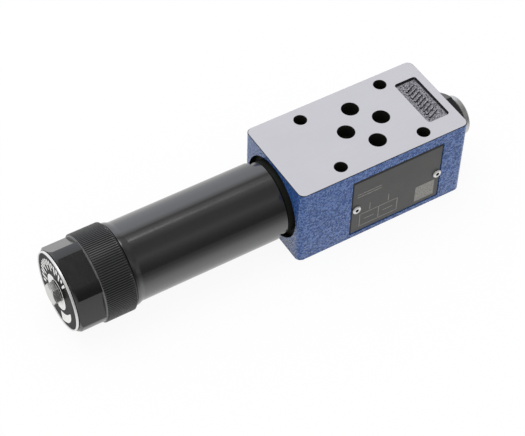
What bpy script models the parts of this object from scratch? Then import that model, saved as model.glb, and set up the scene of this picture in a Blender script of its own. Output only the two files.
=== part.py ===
"""Sandwich plate pressure reducing valve, nominal size 6.

A cast block is clamped between a subplate and a directional valve. Four bolt holes and
four ports go through it. Along its length runs a bore with the control spool. A black
steel sleeve screwed into one end holds the setting spring, and a knob on the end of the
sleeve loads the spring through a spindle and a threaded spring seat. The other end is
closed by a plug with a gauge port and its screw.

Frame: metres, +Z up, +X along the bore away from the knob. The origin is the centre of
the bolt pattern, on the bottom face of the block.
"""
import math

import bmesh
import bpy
from mathutils import Vector

# Clearances
SEAT_GAP = 0.0003            # between two pieces that rest on or are fixed in each other
RUN_GAP = 0.00015            # between two pieces that slide or turn in each other

# Cast block
BODY_LENGTH = 0.083
BODY_WIDTH = 0.044
BODY_HEIGHT = 0.040
BODY_KNOB_END = 0.04325      # from the bolt pattern's centre to the end face at the knob
BODY_CORNER_R = 0.0028       # upright edges
BODY_EDGE = 0.0005           # bevel round the ground faces
BORE_HEIGHT = 0.020          # bore axis above the bottom face

# Bolt holes and ports, standard pattern for this size
BOLT_R = 0.00275
BOLT_SPAN_X = 0.0405
BOLT_SPAN_Y_KNOB = 0.031     # between the two holes at the knob end
BOLT_SPAN_Y_PLUG = 0.0325    # between the two holes at the plug end
PORT_R = 0.0037
PORT_PT_X = 0.00125          # pump and tank ports
PORT_PT_Y = 0.0104
PORT_A_X = -0.00755
PORT_B_X = 0.00995
PORT_STRAIGHT = 0.006        # straight run of each port before its passage bends
PASSAGE_AB_X_OUT = 0.002     # how far the A and B passages bow away from the tank passage
PASSAGE_AB_Y = 0.0127        # how far they bow round the spool bore
PASSAGE_AB_BEND = 0.0095     # height in which they bow out
PASSAGE_AB_CURVE = ((0.0, 0.0), (0.2, 0.12), (0.8, 0.88), (1.0, 1.0))   # shares of height, bow
PUMP_BEND_X_SHARE = 0.7      # of the way from the pump port to the pump groove
PUMP_BEND_Y = 0.0078
PUMP_BEND_R = 0.00295
PUMP_ENTRY_Y = 0.0040        # where the passage enters the pump groove, below the axis
PUMP_ENTRY_DROP = 0.0035
PUMP_ENTRY_R = 0.0019
OUTLET_BEND_Y = 0.0083       # the passage from the bore's middle to the port above
OUTLET_BEND_RISE = 0.0090
OUTLET_BEND_R = 0.0034
OUTLET_START_Y = 0.0035
OUTLET_START_RISE = 0.0034
OUTLET_START_R = 0.0028

# Port seals in their counterbores on the bottom face
SEAL_POCKET_R = 0.0064
SEAL_POCKET_DEPTH = 0.00165
PORT_SEAL_WIRE_R = 0.00066
PORT_SEAL_MEAN_R = 0.00545

# Bores of the block
SPOOL_R = 0.005
GROOVE_R = 0.007
GROOVE_WIDTH = 0.004
TANK_GROOVE_X = -0.008
PUMP_GROOVE_X = 0.0105
DRAIN_R = 0.0014             # drilling from the tank passage to the tank groove
VENT_R = 0.0009              # drilling from the spring chamber to the tank groove
VENT_OFFSET = 0.0066         # its distance from the bore axis
VENT_TURN = 83.5             # its place round the bore, degrees from +Y
SPRING_CHAMBER_R = 0.0098
SPRING_CHAMBER_END = -0.0155
SLEEVE_THREAD_R = 0.013
SLEEVE_THREAD_LENGTH = 0.0145
SLEEVE_RECESS_R = 0.0185
SLEEVE_RECESS_DEPTH = 0.0028
PLUG_THREAD_R = 0.0088
PLUG_THREAD_LENGTH = 0.0125

# Cast pocket on the top face
POCKET_LENGTH = 0.0258
POCKET_WIDTH = 0.0108
POCKET_CENTRE_X = 0.03065
POCKET_DEPTH = 0.0013
POCKET_CORNER_R = 0.0013

# Nameplate in its recess on the front face
PLATE_WIDTH = 0.0450
PLATE_HEIGHT = 0.0318
PLATE_THICKNESS = 0.0005
PLATE_CENTRE_X = 0.00485
PLATE_CENTRE_Z = 0.0185
PLATE_SINK = 0.0011          # depth of the recess
PLATE_MARGIN = 0.0005        # between the plate's edge and the recess wall
RIVET_HEAD_R = 0.0020
RIVET_HEAD_HEIGHT = 0.0007
RIVET_HEAD_RIM = 0.0001      # thickness of the head at its edge
RIVET_BORE_R = 0.0006
RIVET_BORE_DEPTH = 0.0040    # blind, from the plate's face
RIVET_SHANK_R = 0.0010
RIVET_SHANK_LENGTH = 0.0045
RIVET_LEFT_MARGIN = 0.00245  # from the plate's edge to the rivet's axis
RIVET_RIGHT_MARGIN = 0.00165
RIVET_Z = 0.0170

# Spring sleeve
SLEEVE_R = 0.01725
SLEEVE_LENGTH = 0.0709       # from the shoulder at the block to the end at the knob
SLEEVE_STANDOFF = 0.0018     # shoulder of the full diameter before the block's end face
SLEEVE_CHAMFER = 0.0009
SLEEVE_EDGE = 0.0005         # chamfers at the thread's end and round the knob end
SLEEVE_NECK_R = 0.0160
SLEEVE_FLATS = 0.0300        # across the two wrench flats next to the block
SLEEVE_FLATS_LENGTH = 0.0040
SLEEVE_FLATS_TURN = 38.0     # degrees from +Y to the middle of the upper flat
SLEEVE_FLARE_R = 0.0180
SLEEVE_FLARE_LENGTH = 0.0034
SLEEVE_BORE_R = 0.0112
SLEEVE_END_WALL = 0.0110
SLEEVE_KEY_WIDTH = 0.0024    # rib in the bore that keeps the spring seat from turning
SLEEVE_KEY_R = 0.0096
SLEEVE_KEY_LENGTH = 0.0260
SLEEVE_SEAL_MEAN_R = 0.0144
SLEEVE_SEAL_WIRE_R = 0.0008
SLEEVE_SEAL_GROOVE_R = 0.0155
SLEEVE_SEAL_GROOVE_DEPTH = 0.0018

# Spindle with its bush, washer and seal
SPINDLE_R = 0.0040
SPINDLE_COLLAR_R = 0.0082
SPINDLE_COLLAR_LENGTH = 0.0030
SPINDLE_HEX = 0.0066         # across the flats that drive the knob
SPINDLE_HEX_LENGTH = 0.0185
STOP_GROOVE_DEPTH = 0.0008
STOP_RING_R = 0.0053
STOP_RING_WIDTH = 0.0011
STOP_RING_SLOT = 0.0028      # the slot that lets it spring over the spindle
STOP_RING_MARGIN = 0.0012    # thread left beyond the stop ring
WASHER_THICKNESS = 0.0010
WASHER_R = 0.0088
BUSH_R = 0.0064
BUSH_LENGTH = 0.0048
SPINDLE_SEAL_WIDTH = 0.0020

# Threaded spring seat
SPRING_SEAT_R = 0.0108
SPRING_SEAT_LENGTH = 0.0080
SPRING_SEAT_HUB_R = 0.0054
SPRING_SEAT_HUB_LENGTH = 0.0025
SPRING_SEAT_REST_GAP = 0.0008   # from the spindle collar to the seat when the knob is let off
SPRING_SEAT_TRAVEL = 0.0090     # six turns of a thread of 1.5 mm pitch

# Setting spring
SPRING_WIRE_R = 0.00165
SPRING_MEAN_R = 0.0074
SPRING_TURNS = 12
SPRING_COIL_GAP = 0.0002     # between the wires of the closed end turns

# Spring plate and control spool
SPRING_PLATE_R = 0.0092
SPRING_PLATE_THICKNESS = 0.0030
SPRING_PLATE_BOSS_R = 0.0050
SPRING_PLATE_BOSS_LENGTH = 0.0030
SPOOL_NOSE_R = 0.0032
SPOOL_NOSE_LENGTH = 0.0022
SPOOL_WAIST_R = 0.0030
SPOOL_WAIST_START = -0.0052
SPOOL_WAIST_END = 0.0105
SPOOL_DRILLING_R = 0.0013
SPOOL_CROSS_HOLE_R = 0.00105
BALANCE_GROOVES = 4          # shallow rings round the pressure land, which keep the spool centred
BALANCE_GROOVE_WIDTH = 0.0006
BALANCE_GROOVE_DEPTH = 0.0005
BALANCE_GROOVE_PITCH = 0.0026
BALANCE_GROOVE_MARGIN = 0.0042   # from the waist to the first groove
ORIFICE_R = 0.0020           # threaded nozzle in the spool's pressure end
ORIFICE_LENGTH = 0.0040
ORIFICE_HOLE_R = 0.0005

# Knob
KNOB_KNURL_R = 0.01915
KNOB_KNURL_LENGTH = 0.0140
KNOB_KNURL_DEPTH = 0.00035
KNOB_RIBS = 112
KNOB_KNURL_CHAMFER = 0.0008
KNOB_HEX_LENGTH = 0.0113
KNOB_HEX = 0.0343            # across flats
KNOB_HEX_ROUND_R = 0.0185    # the hexagon's corners are turned down to this
KNOB_HEX_TURN = 22.0         # degrees from +Y to a corner of the hexagon
KNOB_FRONT_CHAMFER = 0.0010
KNOB_BACK_RECESS_R = 0.0140
KNOB_BACK_RECESS_DEPTH = 0.0045
KNOB_HUB_R = 0.0075
SPINDLE_END_SINK = 0.0014    # from the knob's front face down to the end of the spindle
DIAL_THICKNESS = 0.0006
DIAL_RING_R = 0.0171
DIAL_RING_BORE_R = 0.0165
DIAL_RING_THICKNESS = 0.0009
DIAL_RING_CHAMFER = 0.0002
KNOB_SCREW_HEX = 0.0085
KNOB_SCREW_HEAD = 0.0031
KNOB_SCREW_CHAMFER_ANGLE = 30.0
KNOB_SCREW_SHANK_R = 0.0018
KNOB_SCREW_SHANK_LENGTH = 0.0110

# Plug with its seal, gauge screw and the screw's seal
PLUG_HEX = 0.0230
PLUG_HEX_LENGTH = 0.0064
PLUG_HEX_TURN = 90.0         # degrees from +Y to a corner
PLUG_CHAMFER_ANGLE = 26.0
PLUG_THREAD_CHAMFER = 0.0008
PLUG_SEAL_THICKNESS = 0.0012
PLUG_SEAL_R = 0.0112
GAUGE_PORT_R = 0.0058
GAUGE_PORT_DEPTH = 0.0115
GAUGE_DRILLING_R = 0.0015
GAUGE_COLLAR_R = 0.0089
GAUGE_COLLAR_LENGTH = 0.0028
GAUGE_COLLAR_CHAMFER = 0.0006
GAUGE_SOCKET = 0.0060        # across the flats of the key socket
GAUGE_SOCKET_DEPTH = 0.0050
GAUGE_SHANK_LENGTH = 0.0085
GAUGE_SEAL_THICKNESS = 0.0011
GAUGE_SEAL_R = 0.0084

# Roundness of the turned pieces
FINE_SIDES = 48
SIDES = 28
SMALL_SIDES = 16
RING_SIDES = 20

# Stations along the bore, worked out from the sizes above
BODY_LEFT = -BODY_KNOB_END
BODY_RIGHT = BODY_LEFT + BODY_LENGTH
FRONT_Y = -BODY_WIDTH / 2
SLEEVE_SHOULDER_X = BODY_LEFT - SLEEVE_STANDOFF
SLEEVE_END_X = SLEEVE_SHOULDER_X - SLEEVE_LENGTH
SLEEVE_WALL_X = SLEEVE_END_X + SLEEVE_END_WALL
SLEEVE_NECK_X = BODY_LEFT + SLEEVE_RECESS_DEPTH - SEAT_GAP
SLEEVE_THREAD_END_X = SLEEVE_NECK_X + SLEEVE_THREAD_LENGTH
BUSH_END_X = SLEEVE_WALL_X - BUSH_LENGTH
SPINDLE_SEAL_X = BUSH_END_X - SEAT_GAP
SEAL_SEAT_X = SPINDLE_SEAL_X - SPINDLE_SEAL_WIDTH - SEAT_GAP
WASHER_X = SLEEVE_WALL_X + SEAT_GAP
COLLAR_OUTER_X = WASHER_X + WASHER_THICKNESS + RUN_GAP
COLLAR_INNER_X = COLLAR_OUTER_X + SPINDLE_COLLAR_LENGTH
SEAT_OUTER_X = COLLAR_INNER_X + SPRING_SEAT_REST_GAP
SEAT_INNER_X = SEAT_OUTER_X + SPRING_SEAT_LENGTH
STOP_RING_X = SEAT_INNER_X + SPRING_SEAT_HUB_LENGTH + SPRING_SEAT_TRAVEL + SEAT_GAP
SPINDLE_TIP_X = STOP_RING_X + STOP_RING_WIDTH + STOP_RING_MARGIN
KNOB_BACK_X = SLEEVE_END_X - SEAT_GAP
KNOB_SHOULDER_X = KNOB_BACK_X - KNOB_KNURL_LENGTH
KNOB_FRONT_X = KNOB_SHOULDER_X - KNOB_HEX_LENGTH
SPINDLE_END_X = KNOB_FRONT_X + SPINDLE_END_SINK
SPINDLE_HEX_X = SPINDLE_END_X + SPINDLE_HEX_LENGTH
DIAL_BACK_X = KNOB_FRONT_X - SEAT_GAP
DIAL_FRONT_X = DIAL_BACK_X - DIAL_THICKNESS
KNOB_SCREW_X = DIAL_FRONT_X - SEAT_GAP
PLUG_INNER_X = BODY_RIGHT - PLUG_THREAD_LENGTH
PLUG_HEX_X = BODY_RIGHT + PLUG_SEAL_THICKNESS + 2 * SEAT_GAP
PLUG_OUTER_X = PLUG_HEX_X + PLUG_HEX_LENGTH
GAUGE_COLLAR_X = PLUG_OUTER_X + GAUGE_SEAL_THICKNESS + 2 * SEAT_GAP
GAUGE_END_X = GAUGE_COLLAR_X + GAUGE_COLLAR_LENGTH
SPOOL_LEFT_X = SPRING_CHAMBER_END + SEAT_GAP
SPOOL_RIGHT_X = PLUG_INNER_X - SEAT_GAP
SPRING_PLATE_X = SPRING_CHAMBER_END - SEAT_GAP
SPRING_PLATE_FACE_X = SPRING_PLATE_X - SPRING_PLATE_THICKNESS

# Sizes used in several pieces
OVER = 0.001                 # cutters run this far past the faces they open
TURNED_EDGE = 0.0004         # chamfer of the spindle, the spring seat and the spool
HEX_CHAMFER_SHARE = 0.48     # radius at which a hexagon's end chamfer starts, of its width


def clear_scene():
    for obj in list(bpy.data.objects):
        bpy.data.objects.remove(obj, do_unlink=True)
    for mesh in list(bpy.data.meshes):
        bpy.data.meshes.remove(mesh)


def make_material(name, colour, roughness, metallic):
    material = bpy.data.materials.new(name)
    material.use_nodes = True
    shader = material.node_tree.nodes["Principled BSDF"]
    shader.inputs["Base Color"].default_value = (*colour, 1.0)
    shader.inputs["Roughness"].default_value = roughness
    shader.inputs["Metallic"].default_value = metallic
    return material


def add_object(name, mesh, material=None, cutter=False):
    obj = bpy.data.objects.new(name, mesh)
    bpy.context.scene.collection.objects.link(obj)
    if material is not None:
        mesh.materials.append(material)
    if cutter:
        obj.hide_render = True
        obj.display_type = "WIRE"
    return obj


def mesh_from(bm, name, smooth_angle=30.0):
    bmesh.ops.recalc_face_normals(bm, faces=bm.faces)
    mesh = bpy.data.meshes.new(name)
    bm.to_mesh(mesh)
    bm.free()
    mesh.shade_smooth()
    mesh.set_sharp_from_angle(angle=math.radians(smooth_angle))
    return mesh


def polar(radius, degrees):
    """A point (y, z) on a circle about the bore axis, turned from +Y towards +Z."""
    angle = math.radians(degrees)
    return radius * math.cos(angle), radius * math.sin(angle)


def rings_mesh(name, rings, closed=False):
    """Skin a row of equal-length point loops; the ends are capped unless closed."""
    bm = bmesh.new()
    loops = [[bm.verts.new(point) for point in ring] for ring in rings]
    count = len(loops[0])
    pairs = list(zip(loops, loops[1:]))
    if closed:
        pairs.append((loops[-1], loops[0]))
    for first, second in pairs:
        for i in range(count):
            j = (i + 1) % count
            bm.faces.new((first[i], first[j], second[j], second[i]))
    if not closed:
        bm.faces.new(loops[0])
        bm.faces.new(loops[-1])
    return mesh_from(bm, name)


def turned(name, profile, sides=SIDES, bore=False):
    """Turn a profile of (x, radius) points about the X axis through the origin.

    A solid piece is capped at both ends. A piece with a bore has a closed profile that
    goes along the outside and comes back along the bore.
    """
    rings = []
    for x, radius in profile:
        ring = [(x, *polar(radius, 360.0 * i / sides)) for i in range(sides)]
        rings.append(ring)
    return rings_mesh(name, rings, closed=bore)


def prism(name, points, x_start, x_end):
    """Extrude an outline of (y, z) points along X."""
    rings = [[(x, y, z) for y, z in points] for x in (x_start, x_end)]
    return rings_mesh(name, rings)


def hexagon(across_flats, corner_turn):
    radius = across_flats / math.sqrt(3.0)
    return [polar(radius, corner_turn + 60.0 * i) for i in range(6)]


def rounded_rectangle(width, depth, radius, steps=6):
    """Outline of (u, v) points about the centre, corners rounded."""
    points = []
    for corner, (su, sv) in enumerate(((1, 1), (-1, 1), (-1, -1), (1, -1))):
        for i in range(steps + 1):
            angle = math.radians(90.0 * corner + 90.0 * i / steps)
            u = su * (width / 2 - radius) + radius * math.cos(angle)
            v = sv * (depth / 2 - radius) + radius * math.sin(angle)
            points.append((u, v))
    return points


def cylinder_between(name, start, end, radius, sides=RING_SIDES):
    """A capped cylinder from one point to another."""
    start = Vector(start)
    end = Vector(end)
    along = (end - start).normalized()
    turn = along.to_track_quat("Z", "Y").to_matrix()
    rings = []
    for centre in (start, end):
        ring = []
        for i in range(sides):
            angle = 2 * math.pi * i / sides
            offset = Vector((radius * math.cos(angle), radius * math.sin(angle), 0.0))
            ring.append(centre + turn @ offset)
        rings.append(ring)
    return rings_mesh(name, rings)


def bent_passage(name, stations, sides=RING_SIDES):
    """A round passage whose level circles follow a row of (x, y, z, radius) stations."""
    rings = []
    for x, y, z, radius in stations:
        ring = []
        for i in range(sides):
            angle = 2 * math.pi * i / sides
            ring.append((x + radius * math.cos(angle), y + radius * math.sin(angle), z))
        rings.append(ring)
    return rings_mesh(name, rings)


def torus(name, mean_radius, wire_radius, major=RING_SIDES, minor=6):
    """A ring about the X axis at the origin."""
    rings = []
    for i in range(major):
        turn = 360.0 * i / major
        ring = []
        for j in range(minor):
            angle = 2 * math.pi * (j + 0.5) / minor
            radius = mean_radius + wire_radius * math.cos(angle)
            ring.append((wire_radius * math.sin(angle), *polar(radius, turn)))
        rings.append(ring)
    return rings_mesh(name, rings, closed=True)


def with_tool(obj, mesh, operation, at=None):
    """Cut the object with a mesh, join the mesh to it or keep what they share."""
    tool = add_object(f"{obj.name}.{mesh.name}", mesh, cutter=True)
    tool.location = at or (0.0, 0.0, 0.0)
    modifier = obj.modifiers.new(mesh.name, "BOOLEAN")
    modifier.operation = operation
    modifier.solver = "EXACT"
    modifier.object = tool


def cut(obj, mesh, at=None):
    with_tool(obj, mesh, "DIFFERENCE", at)


AXIS = Vector((0.0, 0.0, BORE_HEIGHT))


def on_axis(name, mesh, material):
    """Place a piece modelled about the X axis on the bore axis of the block."""
    obj = add_object(name, mesh, material)
    obj.location = AXIS
    return obj


def port_places():
    return (("p", PORT_PT_X, PORT_PT_Y), ("t", PORT_PT_X, -PORT_PT_Y),
            ("a", PORT_A_X, 0.0), ("b", PORT_B_X, 0.0))


def rivet_places():
    left = PLATE_CENTRE_X - PLATE_WIDTH / 2 + RIVET_LEFT_MARGIN
    right = PLATE_CENTRE_X + PLATE_WIDTH / 2 - RIVET_RIGHT_MARGIN
    return (("left", left), ("right", right))


def upright_box(name, centre_x, centre_z, width, height, y_back, y_front):
    half_x = width / 2
    half_z = height / 2
    corners = ((-half_x, -half_z), (half_x, -half_z), (half_x, half_z), (-half_x, half_z))
    rings = [[(centre_x + u, y, centre_z + v) for u, v in corners] for y in (y_back, y_front)]
    return rings_mesh(name, rings)


def cut_bolt_holes(body):
    for label, side, span in (("knob", -1, BOLT_SPAN_Y_KNOB), ("plug", 1, BOLT_SPAN_Y_PLUG)):
        for row, way in (("front", -1), ("back", 1)):
            x = side * BOLT_SPAN_X / 2
            y = way * span / 2
            cut(body, cylinder_between(f"bolt_{label}_{row}", (x, y, -OVER),
                                       (x, y, BODY_HEIGHT + OVER), BOLT_R))


def cut_passages(body):
    """The tank passage runs straight through; A and B bow round the spool bore.

    The pump port opens into the pump groove from below, and the port above it is fed
    from the middle of the bore, so the spool lies between the two.
    """
    cut(body, cylinder_between("tank", (PORT_PT_X, -PORT_PT_Y, -OVER),
                               (PORT_PT_X, -PORT_PT_Y, BODY_HEIGHT + OVER), PORT_R))
    rise = [(-OVER, 0.0)]
    for height_share, bow in PASSAGE_AB_CURVE:
        rise.append((PORT_STRAIGHT + height_share * PASSAGE_AB_BEND, bow))
    fall = [(BODY_HEIGHT - z, bow) for z, bow in reversed(rise)]
    for label, x, out in (("a", PORT_A_X, -PASSAGE_AB_X_OUT), ("b", PORT_B_X, PASSAGE_AB_X_OUT)):
        stations = [(x + out * bow, -PASSAGE_AB_Y * bow, z, PORT_R) for z, bow in rise + fall]
        cut(body, bent_passage(f"port_{label}", stations))

    groove_z = BORE_HEIGHT - PUMP_ENTRY_DROP
    bend_x = PORT_PT_X + PUMP_BEND_X_SHARE * (PUMP_GROOVE_X - PORT_PT_X)
    pump = [(PORT_PT_X, PORT_PT_Y, -OVER, PORT_R), (PORT_PT_X, PORT_PT_Y, PORT_STRAIGHT, PORT_R),
            (bend_x, PUMP_BEND_Y, (PORT_STRAIGHT + groove_z) / 2, PUMP_BEND_R),
            (PUMP_GROOVE_X, PUMP_ENTRY_Y, groove_z, PUMP_ENTRY_R)]
    cut(body, bent_passage("pump", pump))
    outlet = [(PORT_PT_X, PORT_PT_Y, BODY_HEIGHT + OVER, PORT_R),
              (PORT_PT_X, PORT_PT_Y, BODY_HEIGHT - PORT_STRAIGHT, PORT_R),
              (PORT_PT_X, OUTLET_BEND_Y, BORE_HEIGHT + OUTLET_BEND_RISE, OUTLET_BEND_R),
              (PORT_PT_X, OUTLET_START_Y, BORE_HEIGHT + OUTLET_START_RISE, OUTLET_START_R)]
    cut(body, bent_passage("outlet", outlet))

    cut(body, cylinder_between("drain", (PORT_PT_X, -PORT_PT_Y, BORE_HEIGHT),
                               (TANK_GROOVE_X, -SPOOL_R, BORE_HEIGHT), DRAIN_R, SMALL_SIDES))
    vent_y, vent_rise = polar(VENT_OFFSET, VENT_TURN)
    vent_z = BORE_HEIGHT + vent_rise
    cut(body, cylinder_between("vent", (SPRING_CHAMBER_END - OVER, vent_y, vent_z),
                               (TANK_GROOVE_X, vent_y, vent_z), VENT_R, SMALL_SIDES))


def cut_bores(body):
    bore_r = SPOOL_R + RUN_GAP
    thread_r = SLEEVE_THREAD_R + SEAT_GAP
    thread_end = SLEEVE_THREAD_END_X + SEAT_GAP
    recess_floor = BODY_LEFT + SLEEVE_RECESS_DEPTH
    profile = [(BODY_LEFT - OVER, SLEEVE_RECESS_R), (recess_floor, SLEEVE_RECESS_R),
               (recess_floor, thread_r), (thread_end, thread_r),
               (thread_end, SPRING_CHAMBER_R), (SPRING_CHAMBER_END, SPRING_CHAMBER_R),
               (SPRING_CHAMBER_END, bore_r)]
    for groove_x in (TANK_GROOVE_X, PUMP_GROOVE_X):
        start = groove_x - GROOVE_WIDTH / 2
        end = groove_x + GROOVE_WIDTH / 2
        profile += [(start, bore_r), (start, GROOVE_R), (end, GROOVE_R), (end, bore_r)]
    plug_bore_r = PLUG_THREAD_R + SEAT_GAP
    profile += [(SPOOL_RIGHT_X, bore_r), (SPOOL_RIGHT_X, plug_bore_r),
                (BODY_RIGHT + OVER, plug_bore_r)]
    cut(body, turned("bore", profile, FINE_SIDES), at=AXIS)


def make_body(material):
    outline = rounded_rectangle(BODY_LENGTH, BODY_WIDTH, BODY_CORNER_R)
    centre_x = BODY_LEFT + BODY_LENGTH / 2
    rings = []
    for z, inset in ((0.0, BODY_EDGE), (BODY_EDGE, 0.0),
                     (BODY_HEIGHT - BODY_EDGE, 0.0), (BODY_HEIGHT, BODY_EDGE)):
        scale_x = 1.0 - 2 * inset / BODY_LENGTH
        scale_y = 1.0 - 2 * inset / BODY_WIDTH
        rings.append([(centre_x + u * scale_x, v * scale_y, z) for u, v in outline])
    body = add_object("valve_body", rings_mesh("valve_body", rings), material)
    cut_bolt_holes(body)
    cut_passages(body)
    cut_bores(body)
    for label, x, y in port_places():
        cut(body, cylinder_between(f"seal_pocket_{label}", (x, y, -OVER),
                                   (x, y, SEAL_POCKET_DEPTH), SEAL_POCKET_R, SIDES))

    pocket = rounded_rectangle(POCKET_WIDTH, POCKET_LENGTH, POCKET_CORNER_R, 4)
    rings = [[(POCKET_CENTRE_X + u, v, z) for u, v in pocket]
             for z in (BODY_HEIGHT - POCKET_DEPTH, BODY_HEIGHT + OVER)]
    cut(body, rings_mesh("pocket", rings))

    recess_floor = FRONT_Y + PLATE_SINK
    cut(body, upright_box("plate_recess", PLATE_CENTRE_X, PLATE_CENTRE_Z,
                          PLATE_WIDTH + 2 * PLATE_MARGIN, PLATE_HEIGHT + 2 * PLATE_MARGIN,
                          FRONT_Y - OVER, recess_floor))
    for label, x in rivet_places():
        cut(body, cylinder_between(f"rivet_hole_{label}", (x, recess_floor - OVER, RIVET_Z),
                                   (x, recess_floor + RIVET_SHANK_LENGTH + SEAT_GAP, RIVET_Z),
                                   RIVET_SHANK_R + SEAT_GAP, SMALL_SIDES))


def make_port_seals(material):
    """O-rings in their counterbores, just clear of the bottom face."""
    mesh = torus("port_seal", PORT_SEAL_MEAN_R, PORT_SEAL_WIRE_R)
    mesh.materials.append(material)
    for label, x, y in port_places():
        seal = add_object(f"port_seal_{label}", mesh)
        seal.location = (x, y, SEAL_POCKET_DEPTH - SEAT_GAP - PORT_SEAL_WIRE_R)
        seal.rotation_euler = (0.0, math.radians(90.0), 0.0)


def make_nameplate(material):
    back_y = FRONT_Y + PLATE_SINK - SEAT_GAP
    mesh = upright_box("nameplate", PLATE_CENTRE_X, PLATE_CENTRE_Z, PLATE_WIDTH, PLATE_HEIGHT,
                       back_y - PLATE_THICKNESS, back_y)
    plate = add_object("nameplate", mesh, material)
    for label, x in rivet_places():
        cut(plate, cylinder_between(f"hole_{label}", (x, back_y - 2 * OVER, RIVET_Z),
                                    (x, back_y + OVER, RIVET_Z),
                                    RIVET_SHANK_R + SEAT_GAP, SMALL_SIDES))


def make_rivets(material):
    """Hollow drive rivets: a rounded ring of a head over a shank with a blind bore."""
    plate_face = FRONT_Y + PLATE_SINK - SEAT_GAP - PLATE_THICKNESS
    tip = PLATE_THICKNESS + SEAT_GAP + RIVET_SHANK_LENGTH
    under = -SEAT_GAP
    rim = RIVET_HEAD_RIM
    middle = (RIVET_HEAD_R + RIVET_BORE_R) / 2
    half = (RIVET_HEAD_R - RIVET_BORE_R) / 2
    profile = [(tip, RIVET_SHANK_R), (under, RIVET_SHANK_R), (under, RIVET_HEAD_R)]
    steps = 6
    for i in range(steps + 1):
        angle = math.pi * i / steps
        height = rim + (RIVET_HEAD_HEIGHT - rim) * math.sin(angle)
        profile.append((under - height, middle + half * math.cos(angle)))
    profile.append((RIVET_BORE_DEPTH, RIVET_BORE_R))
    for label, x in rivet_places():
        rivet = add_object(f"nameplate_rivet_{label}",
                           turned(f"nameplate_rivet_{label}", profile, SMALL_SIDES), material)
        rivet.location = (x, plate_face, RIVET_Z)
        rivet.rotation_euler = (0.0, 0.0, math.radians(90.0))


def flats_cutter(across_flats, corner_turn, x_start, x_end, outer_r):
    """A hexagonal frame that mills six flats on a round piece of the outer radius."""
    inner = hexagon(across_flats, corner_turn)
    outer = hexagon(2 * (outer_r + OVER), corner_turn)
    rings = [[(x, y, z) for y, z in points]
             for x, points in ((x_start, outer), (x_end, outer), (x_end, inner), (x_start, inner))]
    return rings_mesh("flats", rings, closed=True)


def make_sleeve(material):
    """Turned steel sleeve: thread, seal groove, two flats, long tube, flare, end wall."""
    shoulder = SLEEVE_SHOULDER_X
    end = SLEEVE_END_X
    groove = SLEEVE_NECK_X - SLEEVE_SEAL_GROOVE_DEPTH
    edge = SLEEVE_EDGE
    outside = [(SLEEVE_THREAD_END_X, SLEEVE_THREAD_R - edge),
               (SLEEVE_THREAD_END_X - edge, SLEEVE_THREAD_R), (groove, SLEEVE_THREAD_R),
               (groove, SLEEVE_SEAL_GROOVE_R), (SLEEVE_NECK_X, SLEEVE_SEAL_GROOVE_R),
               (SLEEVE_NECK_X, SLEEVE_NECK_R), (shoulder, SLEEVE_NECK_R),
               (shoulder, SLEEVE_R - SLEEVE_CHAMFER), (shoulder - SLEEVE_CHAMFER, SLEEVE_R),
               (shoulder - SLEEVE_FLATS_LENGTH, SLEEVE_R),
               (end + SLEEVE_FLARE_LENGTH, SLEEVE_R),
               (end + SLEEVE_FLARE_LENGTH / 3, SLEEVE_FLARE_R), (end + edge, SLEEVE_FLARE_R),
               (end, SLEEVE_FLARE_R - edge)]
    seal_r = BUSH_R + SEAT_GAP
    spindle_r = SPINDLE_R + SEAT_GAP
    inside = [(end, spindle_r), (SEAL_SEAT_X, spindle_r), (SEAL_SEAT_X, seal_r),
              (SLEEVE_WALL_X, seal_r), (SLEEVE_WALL_X, SLEEVE_BORE_R),
              (SLEEVE_THREAD_END_X, SLEEVE_BORE_R)]
    sleeve = on_axis("spring_sleeve", turned("spring_sleeve", outside + inside, FINE_SIDES, True),
                     material)
    for side in (0.0, 180.0):
        normal = polar(1.0, SLEEVE_FLATS_TURN + side)
        along = (-normal[1], normal[0])
        flat = [(normal[0] * out + along[0] * across, normal[1] * out + along[1] * across)
                for out, across in ((SLEEVE_FLATS / 2, -SLEEVE_R), (SLEEVE_FLATS / 2, SLEEVE_R),
                                    (SLEEVE_R + OVER, SLEEVE_R), (SLEEVE_R + OVER, -SLEEVE_R))]
        cut(sleeve, prism("wrench_flat", flat, shoulder - SLEEVE_FLATS_LENGTH, shoulder),
            at=AXIS)
    half = SLEEVE_KEY_WIDTH / 2
    rib = [(-half, SLEEVE_KEY_R), (half, SLEEVE_KEY_R),
           (half, SLEEVE_BORE_R + OVER), (-half, SLEEVE_BORE_R + OVER)]
    with_tool(sleeve, prism("key_rib", rib, SLEEVE_WALL_X - OVER,
                            SLEEVE_WALL_X + SLEEVE_KEY_LENGTH), "UNION", at=AXIS)


def make_sleeve_seal(material):
    seal = on_axis("sleeve_seal", torus("sleeve_seal", SLEEVE_SEAL_MEAN_R, SLEEVE_SEAL_WIRE_R,
                                        SIDES), material)
    seal.location.x = SLEEVE_NECK_X - SLEEVE_SEAL_WIRE_R


def make_bearing_pieces(steel, bronze, rubber):
    """Thrust washer, bush and seal that carry the spindle in the sleeve's end wall."""
    run_r = SPINDLE_R + RUN_GAP
    washer = [(WASHER_X, WASHER_R), (WASHER_X + WASHER_THICKNESS, WASHER_R),
              (WASHER_X + WASHER_THICKNESS, run_r), (WASHER_X, run_r)]
    on_axis("thrust_washer", turned("thrust_washer", washer, SIDES, True), steel)
    bush = [(SLEEVE_WALL_X, BUSH_R), (BUSH_END_X, BUSH_R), (BUSH_END_X, run_r),
            (SLEEVE_WALL_X, run_r)]
    on_axis("spindle_bush", turned("spindle_bush", bush, SIDES, True), bronze)
    wire = SPINDLE_SEAL_WIDTH / 2
    seal = on_axis("spindle_seal", torus("spindle_seal", SPINDLE_R + RUN_GAP + wire, wire),
                   rubber)
    seal.location.x = SPINDLE_SEAL_X - wire


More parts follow.
